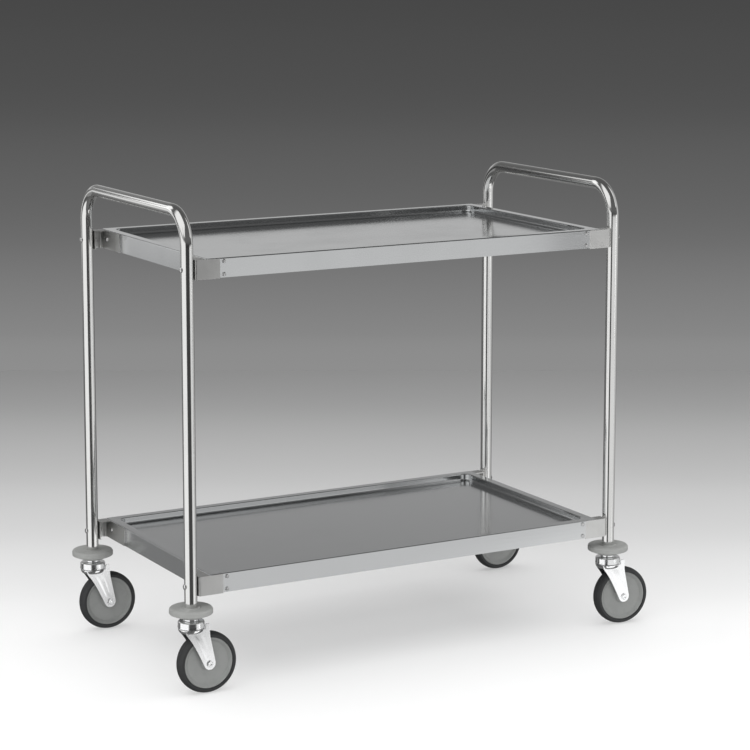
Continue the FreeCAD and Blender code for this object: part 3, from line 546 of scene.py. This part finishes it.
def makeTray(level):
    low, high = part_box(f"{level}_tray")
    middle = Vector(((low[0] + high[0]) / 2, (low[1] + high[1]) / 2, 0))
    halfX = (high[0] - low[0]) / 2
    halfY = (high[1] - low[1]) / 2
    wellX, wellY = halfX - tray["rim"], halfY - tray["rim"]
    rimZ, floorZ, footZ = high[2], high[2] - tray["depth"], low[2]
    deselectAll()
    bpy.ops.mesh.primitive_plane_add(size=2, location=(middle.x, middle.y, floorZ))
    piece = bpy.context.active_object
    piece.scale = (wellX, wellY, 1)
    applyPlace(piece)

    # The well: rounded floor outline, then its wall
    openEdit(piece, "VERT", "SELECT")
    bpy.ops.mesh.bevel(offset=tray["wellRadius"], segments=tray["wellSteps"], affect="VERTICES")
    pick(piece, "EDGE", lambda edge: edge.is_boundary)
    extrudeBy(0, 0, tray["depth"])

    # The rim: its outline grows, and each outer corner is drawn to its own radius
    extrudeBy(0, 0, 0)
    growX, growY = halfX / wellX, halfY / wellY
    resizeBy(growX, growY, (middle.x, middle.y, rimZ))
    reachX, reachY = tray["wellRadius"] * growX + tiny, tray["wellRadius"] * growY + tiny
    for sideX in (-1, 1):
        for sideY in (-1, 1):
            tip = Vector((middle.x + sideX * halfX, middle.y + sideY * halfY, rimZ))

            def inCorner(co):
                nearTip = abs(co.x - tip.x) < reachX and abs(co.y - tip.y) < reachY
                onOuter = abs(co.x - middle.x) > wellX + tiny or abs(co.y - middle.y) > wellY + tiny
                return nearTip and onOuter and co.z > rimZ - tiny

            pick(piece, "VERT", inCorner)
            resizeBy(tray["cornerRadius"] / reachX, tray["cornerRadius"] / reachY, tip)

    # The skirts hang from the rim's outline
    pick(piece, "EDGE", lambda edge: edge.is_boundary)
    extrudeBy(0, 0, footZ - rimZ)

    # Rolled edges: the rim's outside, the lip of the well and the foot of its wall
    def atHeight(edge, height):
        return all(abs(vert.co.z - height) < tiny for vert in edge.verts) and len(edge.link_faces) == 2

    def foldAtRim(edge):
        return atHeight(edge, rimZ) and edge.calc_face_angle(0) > tray["foldAngle"]

    def isOutside(edge):
        return all(max(abs(vert.co.x - middle.x) - wellX, abs(vert.co.y - middle.y) - wellY) > tray["rim"] / 2
                   for vert in edge.verts)

    for test, (width, steps) in ((lambda edge: foldAtRim(edge) and isOutside(edge), tray["edgeRoll"]),
                                 (lambda edge: foldAtRim(edge) and not isOutside(edge), tray["lipRoll"]),
                                 (lambda edge: atHeight(edge, floorZ), tray["floorRoll"])):
        pick(piece, "EDGE", test)
        bpy.ops.mesh.bevel(offset=width, segments=steps, affect="EDGES", clamp_overlap=True)

    # The skirts, cut away at the corners where the brackets stand
    cutX, cutY = halfX - tray["skirtEndX"], halfY - tray["skirtEndY"]
    lipZ = rimZ - tray["sheet"]

    def onSkirt(face):
        spot = face.calc_center_median()
        onOuter = abs(spot.x - middle.x) > wellX + tiny or abs(spot.y - middle.y) > wellY + tiny
        return spot.z < rimZ - tiny and onOuter

    cuts = [((middle.x + side * cutX, 0, 0), (1, 0, 0)) for side in (-1, 1)]
    cuts += [((0, middle.y + side * cutY, 0), (0, 1, 0)) for side in (-1, 1)]
    for point, normal in cuts + [((0, 0, lipZ), (0, 0, 1))]:
        pick(piece, "FACE", onSkirt)
        bpy.ops.mesh.bisect(plane_co=point, plane_no=normal)

    def inNotch(face):
        spot = face.calc_center_median()
        atCorner = abs(spot.x - middle.x) > cutX and abs(spot.y - middle.y) > cutY
        return onSkirt(face) and spot.z < lipZ and atCorner

    pick(piece, "FACE", inNotch)
    bpy.ops.mesh.delete(type="FACE")
    closeEdit()
    fixNormals(piece)
    addModifier(piece, "SOLIDIFY", thickness=tray["sheet"], offset=-1.0, use_even_offset=True)
    smoothPiece(piece, tray["smooth"])
    finishPiece(piece, f"shelf_{level}", "cart", "shelf_steel", f"{level}_tray")


for level in levels:
    makeTray(level)
print("stage: shelves pressed")


# Corner brackets and stiffeners keep the frame's shape, with rounded folds

bracket = {"fold": 0.0006}

for level in levels:
    for corner in corners:
        name = f"{level}_bracket_{corner}"
        piece = roundedCopy(name, name, bracket["fold"])
        finishPiece(piece, f"bracket_{level}_{corner}", "cart", "bracket_steel", name)
    name = f"{level}_stiffener"
    finishPiece(roundedCopy(name, name, bracket["fold"]), f"stiffener_{level}", "cart", "shelf_steel", name)
print("stage: brackets folded")


# Screws and bolts: one of each is modelled, and its copies stand where the frame has them. The shares
# are of the shank's radius, the head's radius or its height

fastener = {"sides": 32, "shank": 0.0018, "tipShare": 0.6, "tipSlopeShare": 0.5, "seatShare": 0.97,
            "edgeShare": 0.1, "domeShare": 0.28, "domeAngles": (0, 14, 28, 42, 56), "flatShare": 0.25,
            "topShare": 0.9, "crossFlat": 0.002185, "crossWing": 12, "crossDepth": 0.0011,
            "crossTaperShare": 0.8, "turnStep": 37, "smooth": 40, "nutRound": 0.0003}

# Name, frame node, head radius, head height, length, with a cross, and the axis that the head faces
screwRows = (("sideScrews", "side_screws", 0.0040, 0.0022, 0.006, True, 1),
             ("endScrews", "end_screws", 0.0050, 0.0028, 0.007, True, 0),
             ("tubeBolts", "tube_bolts", 0.0055, 0.0032, 0.034, False, 0))


# The solids of a frame node that has several, as (lowest, highest) corners
def solidsOf(node):
    mesh = bmesh.new()
    mesh.from_mesh(nodes[node].data)
    bmesh.ops.remove_doubles(mesh, verts=mesh.verts, dist=mergeWithin)
    left = set(mesh.verts)
    found = []
    while left:
        group = [left.pop()]
        for vert in group:
            for edge in vert.link_edges:
                other = edge.other_vert(vert)
                if other in left:
                    left.remove(other)
                    group.append(other)
        low = Vector(min(vert.co[axis] for vert in group) for axis in range(3))
        high = Vector(max(vert.co[axis] for vert in group) for axis in range(3))
        found.append((low, high))
    mesh.free()
    return found


# A cross sunk in the top of a screw's head
def sinkCross(piece, height):
    wing = math.radians(90)
    top, taper = fastener["topShare"], fastener["crossTaperShare"]
    openEdit(piece, "FACE")
    pick(piece, "FACE", lambda face: face.normal.z > top and len(face.verts) == fastener["sides"])
    bpy.ops.mesh.poke()

    def inWing(face):
        spot = face.calc_center_median()
        turn = math.atan2(spot.y, spot.x) % wing
        near = min(turn, wing - turn) < math.radians(fastener["crossWing"])
        return len(face.verts) == 3 and spot.z > height * top and near

    pick(piece, "FACE", inWing)
    bpy.ops.mesh.extrude_region_move(TRANSFORM_OT_translate={"value": (0, 0, -fastener["crossDepth"])})
    resizeBy(taper, taper, (0, 0, 0))
    closeEdit()


# A turned screw whose head's seat is at zero height
def makeScrew(name, radius, height, length, withCross):
    shank, low = fastener["shank"], fastener["domeShare"]
    flat = fastener["crossFlat"] if withCross else radius * fastener["flatShare"]
    profile = [(shank * fastener["tipShare"], -length), (shank, shank * fastener["tipSlopeShare"] - length),
               (shank, 0.0), (radius * fastener["seatShare"], 0.0), (radius, height * fastener["edgeShare"])]
    for degrees in fastener["domeAngles"]:
        angle = math.radians(degrees)
        if radius * math.cos(angle) > flat:
            profile.append((radius * math.cos(angle), height * (low + (1 - low) * math.sin(angle))))
    piece = turnProfile(name, profile + [(flat, height)], fastener["sides"], capEnds=True)
    if withCross:
        sinkCross(piece, height)
    smoothPiece(piece, fastener["smooth"], weighted=False)
    return piece


# Copies of a screw at each solid of a node, each turned a little further
def placeScrews(model, node, name, along, headHeight):
    middle = Vector(((cadBounds[0].x + cadBounds[1].x) / 2, 0, 0))
    copies = []
    for index, (low, high) in enumerate(solidsOf(node)):
        spot = (low + high) / 2
        side = 1 if spot[along] > middle[along] else -1
        spot[along] = (high[along] if side > 0 else low[along]) - side * headHeight
        outward = Vector((0, 0, 0))
        outward[along] = side
        turned = outward.to_track_quat("Z", "Y").to_matrix().to_4x4()
        spin = Matrix.Rotation(math.radians(fastener["turnStep"] * index), 4, "Z")
        copies.append(copyPiece(model, f"{name}{index}", Matrix.Translation(spot) @ turned @ spin))
    removePiece(model)
    finishPiece(joinPieces(copies, name), name, "cart", "screw_steel", node)


for name, node, radius, height, length, withCross, along in screwRows:
    placeScrews(makeScrew(f"{name}Model", radius, height, length, withCross), node, name, along, height)
tubeNuts = roundedCopy("tube_nuts", "tubeNuts", fastener["nutRound"])
finishPiece(tubeNuts, "tubeNuts", "cart", "screw_steel", "tube_nuts")
print("stage: screws set")


# Bumper discs, turned about each leg. Points are (radius, height), and a rounding is its middle, radius,
# first and last angle and steps

bumper = {"sides": 96, "foot": ((0.0062, 0.1540), (0.0220, 0.1540), (0.0230, 0.1548)),
          "roundings": (((0.0403, 0.1642), 0.0022, -65, 0, 5), ((0.0375, 0.1695), 0.0050, 0, 90, 9)),
          "top": ((0.0215, 0.1745), (0.0195, 0.1733), (0.0175, 0.1733), (0.0163, 0.1745), (0.0127, 0.1745),
                  (0.0127, 0.1650), (0.0062, 0.1650), (0.0062, 0.1540))}


def legPlace(corner):
    low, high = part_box(f"bumper_{corner}")
    return Vector(((low.x + high.x) / 2, (low.y + high.y) / 2, 0))


def makeBumper():
    profile = list(bumper["foot"])
    for rounding in bumper["roundings"]:
        profile += roundProfile(*rounding)
    return turnProfile("bumperModel", profile + list(bumper["top"]), bumper["sides"])


bumperModel = makeBumper()
for corner in corners:
    piece = copyPiece(bumperModel, f"bumper{corner}", Matrix.Translation(legPlace(corner)))
    smoothPiece(piece)
    finishPiece(piece, f"bumperDisc_{corner}", "cart", "bumper_plastic", f"bumper_{corner}")
removePiece(bumperModel)
print("stage: bumpers turned")


# Castors: turned outlines are (radius, height) points

# The head in one: rivet, stem, ball groove, dust lip and bead, then a rounded shoulder and the spacer
head = {"sides": 96, "shoulder": ((0.0228, 0.1450), 0.0030, 0, 90, 7),
        "lower": ((0.00595, 0.12492), (0.0085, 0.12572), (0.0085, 0.1276), (0.0050, 0.1276),
                  (0.0050, 0.1375), (0.0170, 0.1375), (0.0170, 0.1416), (0.0230, 0.1416), (0.0230, 0.1375),
                  (0.0242, 0.1370), (0.0242, 0.1350), (0.0247, 0.1346), (0.0256, 0.1346), (0.0262, 0.1352),
                  (0.0262, 0.1368), (0.0258, 0.1376)),
        "upper": ((0.0162, 0.1480), (0.0150, 0.1490), (0.0150, 0.1536), (0.0146, 0.1540), (0.0050, 0.1540),
                  (0.0050, 0.1980), (0.0040, 0.1990))}
fork = {"sheet": 0.0025, "outer": 0.018, "columns": 16, "ribShare": 0.13, "ribRise": 0.0003,
        "ribLow": 0.075, "ribHigh": 0.119, "heelFrom": 0.0215, "heelRise": 0.0100,
        "heelShares": (0.7, 0.3), "heelTopShare": 0.75, "heelBack": 0.005, "round": 0.0007, "roundFrom": 50}

# The side of a fork leg, row by row: height, front edge and back edge, from the swivel axis
forkRows = ((0.0492, 0.0284, 0.0336), (0.0504, 0.0254, 0.0366), (0.0520, 0.0231, 0.0389),
            (0.0540, 0.0213, 0.0408), (0.0580, 0.0192, 0.0426), (0.0630, 0.0169, 0.0428),
            (0.0680, 0.0146, 0.0419), (0.0740, 0.0118, 0.0407), (0.0840, 0.0070, 0.0387),
            (0.0960, 0.0008, 0.0362), (0.1060, -0.0050, 0.0342), (0.1140, -0.0103, 0.0326),
            (0.1200, -0.0148, 0.0317), (0.1250, -0.0182, 0.0314), (0.1290, -0.0196, 0.0314),
            (0.1320, -0.0200, 0.0316))

# The pressed crown and its raised race
crownProfile = ((0.0054, 0.1280), (0.0190, 0.1280), (0.0205, 0.1274), (0.0200, 0.1262), (0.0188, 0.1250),
                (0.0193, 0.1242), (0.0205, 0.1243), (0.0228, 0.1256), (0.0244, 0.1278), (0.0252, 0.1302),
                (0.0254, 0.1326), (0.0248, 0.1332), (0.0236, 0.1332), (0.0231, 0.1338), (0.0230, 0.1360),
                (0.0226, 0.1365), (0.0054, 0.1365), (0.0054, 0.1280))

# The axle bolt's parts and its nut, with the seat at zero height and the outside upwards
boltRows = (("boltHead", 6, ((0.0015, 0.0024), (0.0030, 0.0026), (0.0036, 0.0040), (0.0052, 0.0040),
                             (0.0058, 0.0034), (0.0058, 0.0008), (0.0029, 0.0006))),
            ("boltWasher", 48, ((0.0030, 0), (0.0068, 0), (0.0070, 0.0002), (0.0070, 0.0006),
                                (0.0067, 0.0008), (0.0030, 0.0008))),
            ("boltShank", 48, ((0.0024, -0.0430), (0.0030, -0.0424), (0.0030, 0.0008))))
nutProfile = ((0.0036, 0), (0.0052, 0), (0.0058, 0.0006), (0.0058, 0.0044), (0.0052, 0.0050),
              (0.0042, 0.0050), (0.0036, 0.0044), (0.0036, 0))

# One half of the wheel centre, from the bore over the hub and web to the rim
wheel = {"sides": 96, "half": ((0.0068, 0.0150), (0.0130, 0.0150), (0.0140, 0.0140), (0.0152, 0.0070),
                               (0.0170, 0.0060), (0.0422, 0.0060), (0.0437, 0.0068), (0.0474, 0.0103),
                               (0.0482, 0.0112), (0.0487, 0.0115), (0.0502, 0.0115), (0.0510, 0.0107))}
tyre = {"inner": 0.051, "radius": 0.061, "half": 0.014, "edge": 0.0008, "crown": 0.005, "power": 2.5,
        "steps": 16, "grooves": (-0.006, 0.0, 0.006), "grooveDepth": 0.0007, "grooveHalf": 0.0006,
        "grooveFloor": 0.0009, "grooveClear": 0.00132, "sides": 128}


# The frame of a castor: the swivel axis at the origin and the axle behind it, along X
def castorPlace(corner):
    leg = legPlace(corner)
    low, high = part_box(f"castor_{corner}_tyre")
    reach = (low + high) / 2 - leg
    return Matrix.Translation(leg) @ Matrix.Rotation(math.atan2(reach.y, reach.x), 4, "Z")


def wheelPlace(corner):
    low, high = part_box(f"castor_{corner}_tyre")
    turn = castorPlace(corner).to_3x3().to_4x4()
    return Matrix.Translation((low + high) / 2) @ turn @ Matrix.Rotation(math.radians(-90), 4, "X")


def makeHead():
    profile = list(head["lower"]) + roundProfile(*head["shoulder"]) + list(head["upper"])
    return turnProfile("headModel", profile, head["sides"], capEnds=True)


# One fork leg: rows extruded upwards, a raised rib and a heel behind the head
def makeForkLeg():
    height, front, back = forkRows[0]
    middleY = fork["sheet"] / 2 - fork["outer"]
    deselectAll()
    bpy.ops.mesh.primitive_grid_add(x_subdivisions=fork["columns"], y_subdivisions=1, size=1,
                                    location=((front + back) / 2, middleY, height + 1 / 2),
                                    rotation=(math.radians(90), 0, 0))
    leg = bpy.context.active_object
    leg.scale = (back - front, 1, 1)
    applyPlace(leg)
    openEdit(leg)
    pick(leg, "VERT", lambda co: co.z > height + tiny)
    bpy.ops.mesh.delete(type="VERT")
    pick(leg, "EDGE", lambda edge: True)
    for nextHeight, nextFront, nextBack in forkRows[1:]:
        extrudeBy((nextFront + nextBack - front - back) / 2, 0, nextHeight - height)
        grow = (nextBack - nextFront) / (back - front)
        resizeBy(grow, 1, ((nextFront + nextBack) / 2, middleY, nextHeight))
        height, front, back = nextHeight, nextFront, nextBack
    pick(leg, "EDGE", lambda edge: all(vert.co.z > height - tiny and vert.co.x > fork["heelFrom"]
                                       for vert in edge.verts))
    for riseShare in fork["heelShares"]:
        extrudeBy(0, 0, fork["heelRise"] * riseShare)
    resizeBy(fork["heelTopShare"], 1, (back - fork["heelBack"], middleY, height))
    for rowHeight, rowFront, rowBack in forkRows:
        if fork["ribLow"] < rowHeight < fork["ribHigh"]:
            centre, reach = (rowFront + rowBack) / 2, (rowBack - rowFront) * fork["ribShare"]
            pick(leg, "VERT", lambda co: abs(co.z - rowHeight) < tiny and abs(co.x - centre) < reach)
            bpy.ops.transform.translate(value=(0, -fork["ribRise"], 0))
    closeEdit()
    fixNormals(leg)
    addModifier(leg, "SOLIDIFY", thickness=fork["sheet"], offset=0.0, use_even_offset=True)
    return leg


def makeFork():
    leg = makeForkLeg()
    twin = copyPiece(leg, "forkTwin", Matrix.Scale(-1, 4, (0, 1, 0)))
    crown = turnProfile("crownModel", crownProfile, head["sides"])
    piece = joinPieces([leg, twin, crown], "forkModel")
    fixNormals(piece)
    bevelEdges(piece, fork["round"], fork["roundFrom"])
    return piece


def makeAxleBolt():
    parts = [turnProfile(name, profile, sides, capEnds=True) for name, sides, profile in boltRows]
    return joinPieces(parts, "boltModel")


def makeWheel():
    profile = [(radius, -height) for radius, height in wheel["half"]]
    profile += [(radius, height) for radius, height in reversed(wheel["half"])]
    return turnProfile("wheelModel", profile + profile[:1], wheel["sides"])


def makeTyre():
    inner, half, edge = tyre["inner"], tyre["half"], tyre["edge"]
    profile = [(inner, edge - half), (inner + edge, -half)]
    heights = [-half + 2 * half * step / tyre["steps"] for step in range(tyre["steps"] + 1)]
    for groove in tyre["grooves"]:
        heights = [height for height in heights if abs(height - groove) > tyre["grooveClear"]]
        heights += [groove + step * tyre["grooveHalf"] for step in (-2, -1, 1, 2)]
    for height in sorted(heights):
        radius = tyre["radius"] - tyre["crown"] * abs(height / half) ** tyre["power"]
        if any(abs(height - groove) < tyre["grooveFloor"] for groove in tyre["grooves"]):
            radius -= tyre["grooveDepth"]
        profile.append((radius, height))
    profile += [(inner + edge, half), (inner, half - edge)]
    return turnProfile("tyreModel", profile + profile[:1], tyre["sides"])


wheelModel, tyreModel = makeWheel(), makeTyre()
headModel, forkModel = makeHead(), makeFork()
boltModel, nutModel = makeAxleBolt(), turnProfile("nutModel", nutProfile, boltRows[0][1])
tyreLow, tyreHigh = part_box("castor_rear_right_tyre")
axleHeight = (tyreLow.z + tyreHigh.z) / 2
trail = (tyreLow.x + tyreHigh.x) / 2 - legPlace("rear_right").x
for corner in corners:
    place = castorPlace(corner)
    seats = [place @ Matrix.Translation((trail, side * fork["outer"], axleHeight))
             @ Matrix.Rotation(math.radians(-90 * side), 4, "X") for side in (-1, 1)]
    for model, name, where, body, slotName, part in (
            (wheelModel, "wheelCentre", wheelPlace(corner), f"roller_{corner}", "wheel_plastic", "wheel"),
            (tyreModel, "tyre", wheelPlace(corner), f"roller_{corner}", "tyre_rubber", "tyre"),
            (headModel, "castorHead", place, "cart", "zinc_steel", "head"),
            (forkModel, "castorFork", place, f"swivel_{corner}", "zinc_steel", "fork"),
            (boltModel, "axleBolt", seats[0], f"swivel_{corner}", "zinc_steel", "axle_bolt"),
            (nutModel, "axleNut", seats[1], f"swivel_{corner}", "zinc_steel", "axle_nut")):
        piece = copyPiece(model, f"{name}{corner}", where)
        smoothPiece(piece)
        finishPiece(piece, f"{name}_{corner}", body, slotName, f"castor_{corner}_{part}")
for model in (wheelModel, tyreModel, headModel, forkModel, boltModel, nutModel):
    removePiece(model)
print("stage: castors built")


# Studio: pale floor, a grey sweep behind, soft lights and the camera; the floor and the sweep carry painted
# light and shade

# The focal length is in pixels of the picture, and the angles are in degrees
camera = {"place": (-2.38964, -4.35358, 1.4904), "turn": -29.092, "tilt": 8.699, "focal": 2414.9,
          "picture": 750, "sensor": 36.0, "rise": -0.12}
# The floor's glowShare is a painted glow that lightens the shadows on it; litShare is the part that the lamps
# light
studio = {"floorHalf": 60.0, "glowShare": 0.495, "litShare": 0.53, "cloudShare": 0.02, "cloudScale": 2.0,
          "cloudDetail": 4, "roughness": 0.8, "specular": 0.1, "wallDistance": 2.9, "wallTop": 1.6,
          "wallHalf": 7.0, "airTurn": (0.55, 0.9)}

# Stops are (place, brightness), a painted falloff of light: on the floor by the distance behind the cart, on
# the glowing wall by height
floorStops = ((-0.9, 1.0), (-0.2, 0.98), (0.2, 0.86), (0.7, 0.67), (1.3, 0.515), (2.1, 0.37), (2.9, 0.275))
wallStops = ((0.0, 0.272), (0.12, 0.242), (0.42, 0.157), (0.80, 0.096), (1.15, 0.068), (1.6, 0.06))

# Stops of the air around: (sine of the elevation, brightness), behind the cart and elsewhere
backStops = ((-1.0, 0.20), (-0.1, 0.20), (0.03, 0.26), (0.13, 0.60), (0.18, 0.50), (0.26, 0.33), (0.5, 0.17),
             (1.0, 0.12))
sideStops = ((-1.0, 0.16), (-0.1, 0.05), (0.02, 0.05), (0.14, 0.12), (0.5, 0.12), (1.0, 0.10))

# Reflecting cards that only polished surfaces see: start, end, lowest and highest, brightness, the tilt
# about the card's middle line (90 is upright), and the shares of its sides that fade out, at the start,
# at the end, below and above
cards = {
    "cardLeft": ((-1.9, 1.3), (-2.1, -2.35), (-0.9, 1.3), 1.0, 90, (0.14, 0.22, 0.05, 0.15)),
    "cardLeftHigh": ((-1.95, 1.3), (-2.0, -1.3), (1.0, 3.2), 1.0, 90, (0.2, 0.3, 0.15, 0.2)),
    "cardBack": ((-1.36, 2.6), (-2.6, 2.5), (-0.28, 1.25), 0.84, 90, (0.12, 0.15, 0.6, 0.2)),
    "cardMiddle": ((-1.52, 2.55), (-2.6, 2.45), (0.85, 2.5), 1.4, 90, (0.1, 0.15, 0.3, 0.2)),
    "cardHigh": ((-0.9, 2.75), (-2.4, 2.4), (1.45, 4.0), 1.2, 90, (0.2, 0.15, 0.2, 0.2)),
    "cardBackLow": ((-1.1, 2.85), (-2.6, 2.8), (-1.4, 0.4), 0.27, 90, (0.15, 0.15, 0.05, 0.2)),
    "cardFront": ((-0.24, -1.158), (5.0, -3.0), (-1.8, 1.0), 0.80, 90, (0.03, 0.3, 0.02, 0.1)),
    "cardOver": ((2.0, -1.05), (4.6, -1.05), (1.08, 5.2), 0.9, 40, (0.12, 0.2, 0.08, 0.2)),
    "cardLeftOver": ((-1.5, 1.2), (-1.5, -2.4), (1.15, 4.35), 1.0, 50, (0.2, 0.15, 0.1, 0.15)),
    "cardCorner": ((2.45, -2.0), (5.2, -2.95), (-1.8, 0.95), 1.0, 90, (0.1, 0.3, 0.02, 0.1)),
    "cardFoot": ((-0.5, -1.01), (2.5, -2.05), (-1.9, -0.14), 1.1, 90, (0.06, 0.15, 0.02, 0.05)),
    "cardDimFoot": ((-0.12, -1.118), (0.26, -1.25), (-0.6, -0.25), 0.42, 90, (0.2, 0.3, 0.3, 0.15)),
    "cardSpot": ((1.5, -1.745), (1.98, -1.913), (0.2, 0.95), 2.0, 90, (0.1, 0.3, 0.2, 0.2)),
    "cardDim": ((1.14, -1.60), (1.50, -1.727), (0.34, 0.82), 0.42, 90, (0.6, 0.15, 0.2, 0.2)),
    "cardRight": ((2.3, -1.5), (2.7, 1.0), (-0.9, 2.8), 0.56, 90, (0.05, 0.4, 0.02, 0.2)),
}

lights = {
    "softTop": {"place": (-0.3, 0.2, 4.2), "aim": (-0.3, 0.2, 0.0), "size": (9.0, 8.0), "power": 345},
    "softLeft": {"place": (-4.5, -1.6, 1.6), "aim": (0, 0, 0.6), "size": (5.0, 3.0), "power": 60},
    "softFront": {"place": (0.6, -6.0, 2.0), "aim": (0, 0, 0.6), "size": (6.0, 1.8), "power": 110},
    "softRight": {"place": (4.6, -1.0, 1.6), "aim": (0, 0, 0.6), "size": (5.0, 3.0), "power": 50},
}


# The level direction from the camera to the cart
def forward():
    yaw = math.radians(camera["turn"])
    return Vector((-math.sin(yaw), math.cos(yaw), 0))


def makeCamera():
    data = bpy.data.cameras.new("studioCamera")
    data.sensor_width = camera["sensor"]
    data.lens = camera["focal"] / camera["picture"] * camera["sensor"]
    data.shift_y = camera["rise"]
    viewer = bpy.data.objects.new("studioCamera", data)
    bpy.context.scene.collection.objects.link(viewer)
    viewer.location = camera["place"]
    viewer.rotation_euler = (math.radians(90 - camera["tilt"]), 0, math.radians(camera["turn"]))
    bpy.context.scene.camera = viewer


# A ramp of greys over a value, from (place, brightness) stops
def greyRamp(tree, value, stops):
    low, high = stops[0][0], stops[-1][0]
    ramp = addNode(tree, "ValToRGB", {"Fac": rangeNode(tree, value, low, high)})
    ramp.color_ramp.interpolation = "CARDINAL"
    elements = ramp.color_ramp.elements
    elements[0].position, elements[1].position = 0.0, 1.0
    for place, bright in stops[1:-1]:
        elements.new((place - low) / (high - low))
    for element, (place, bright) in zip(elements, stops):
        element.color = (bright, bright, bright, 1)
    return ramp.outputs["Color"]


# How far a point lies along a level direction
def alongNode(tree, vector, direction):
    return addNode(tree, "VectorMath", {0: vector, 1: direction}, operation="DOT_PRODUCT").outputs["Value"]


def stagePlane(name, material, place, turn, scale):
    deselectAll()
    bpy.ops.mesh.primitive_plane_add(size=2, location=(0, 0, 0))
    plane = bpy.context.active_object
    plane.name = name
    plane.rotation_euler = turn
    plane.scale = scale
    plane.location = place
    applyPlace(plane)
    plane.data.materials.append(material)
    return plane


# The kinds of ray that don't see a thing
def hideFrom(thing, *rays):
    for ray in rays:
        setattr(thing, f"visible_{ray}", False)


# The floor glows a little, painted light that lifts the shadows under the cart, and the lamps light the rest
# of it. Its colour darkens with the distance behind the cart, which is painted shade
def makeFloor():
    material, tree, shader = newMaterial("studioFloor")
    place = objectVector(tree)
    shade = greyRamp(tree, alongNode(tree, place, forward()), floorStops)
    clouds = noiseNode(tree, place, studio["cloudScale"], studio["cloudDetail"])
    mixed = addNode(tree, "Mix", {"Factor": studio["cloudShare"], "A": shade, "B": clouds},
                    data_type="RGBA", blend_type="MULTIPLY").outputs["Result"]
    setInputs(tree, shader, {
        "Base Color": tintNode(tree, mixed, studio["litShare"]), "Emission Color": mixed,
        "Emission Strength": studio["glowShare"], "Roughness": studio["roughness"],
        "Specular IOR Level": studio["specular"]})
    half = studio["floorHalf"]
    hideFrom(stagePlane("studioFloor", material, (0, 0, 0), (0, 0, 0), (half, half, 1)), "glossy")


# The wall is a glowing backdrop that no lamp lights. Its grey is brighter at the foot and darker upwards,
# which is painted light and shade
def makeWall():
    material, tree, mix = newMaterial("studioWall", "MixShader")
    height = addNode(tree, "SeparateXYZ", {0: objectVector(tree)}).outputs["Z"]
    glow = addNode(tree, "Emission", {"Color": greyRamp(tree, height, wallStops)})
    clear = addNode(tree, "BsdfTransparent", {})
    behind = addNode(tree, "NewGeometry", {}).outputs["Backfacing"]
    setInputs(tree, mix, {"Fac": behind, 1: glow.outputs[0], 2: clear.outputs[0]})
    half = studio["wallTop"] / 2
    wall = stagePlane("studioWall", material, forward() * studio["wallDistance"] + Vector((0, 0, half)),
                      (math.radians(90), 0, math.radians(camera["turn"])), (studio["wallHalf"], half, 1))
    hideFrom(wall, "glossy", "diffuse", "shadow")


# How much of a card shows along one of its sides, between the shares that fade out
def fadeNode(tree, value, firstShare, lastShare):
    return mathNode(tree, "MULTIPLY", rangeNode(tree, value, 0.0, firstShare, "SMOOTHSTEP"),
                    rangeNode(tree, value, 1.0, 1.0 - lastShare, "SMOOTHSTEP"))


def makeCard(name, start, end, heights, bright, tilt, fadeShares):
    material, tree, mix = newMaterial(name, "MixShader")
    split = addNode(tree, "SeparateXYZ", {0: addNode(tree, "TexCoord", {}).outputs["UV"]})
    shape = mathNode(tree, "MULTIPLY", fadeNode(tree, split.outputs["X"], *fadeShares[:2]),
                     fadeNode(tree, split.outputs["Y"], *fadeShares[2:]))
    glow = addNode(tree, "Emission", {"Strength": mathNode(tree, "MULTIPLY", shape, bright)})
    clear = addNode(tree, "BsdfTransparent", {})
    setInputs(tree, mix, {"Fac": shape, 1: clear.outputs[0], 2: glow.outputs[0]})
    low, high = heights
    span = Vector(end) - Vector(start)
    middle = (Vector(start) + Vector(end)) / 2
    card = stagePlane(name, material, (middle.x, middle.y, (low + high) / 2),
                      (math.radians(tilt), 0, math.atan2(span.y, span.x)),
                      (span.length / 2, (high - low) / 2, 1))
    hideFrom(card, "camera", "diffuse", "shadow", "transmission")


def makeLight(name, look):
    data = bpy.data.lights.new(name, "AREA")
    data.shape = "RECTANGLE"
    data.size, data.size_y = look["size"]
    data.energy = look["power"]
    lamp = bpy.data.objects.new(name, data)
    bpy.context.scene.collection.objects.link(lamp)
    lamp.location = look["place"]
    lamp.rotation_euler = (Vector(look["aim"]) - Vector(look["place"])).to_track_quat("-Z", "Y").to_euler()
    hideFrom(lamp, "camera", "glossy")


def makeAir():
    world = bpy.data.worlds.new("studioAir")
    world.use_nodes = True
    tree = world.node_tree
    direction = tree.nodes.new("ShaderNodeTexCoord").outputs["Generated"]
    height = addNode(tree, "SeparateXYZ", {0: direction}).outputs["Z"]
    behind = rangeNode(tree, alongNode(tree, direction, forward()), *studio["airTurn"], "SMOOTHSTEP")
    mix = addNode(tree, "Mix", {"Factor": behind, "A": greyRamp(tree, height, sideStops),
                                "B": greyRamp(tree, height, backStops)}, data_type="RGBA")
    tree.links.new(mix.outputs["Result"], tree.nodes["Background"].inputs["Color"])
    bpy.context.scene.world = world


makeCamera()
makeFloor()
makeWall()
for name, row in cards.items():
    makeCard(name, *row)
for name, look in lights.items():
    makeLight(name, look)
makeAir()
bpy.context.scene.view_settings.view_transform = "Standard"
print("stage: studio lit")
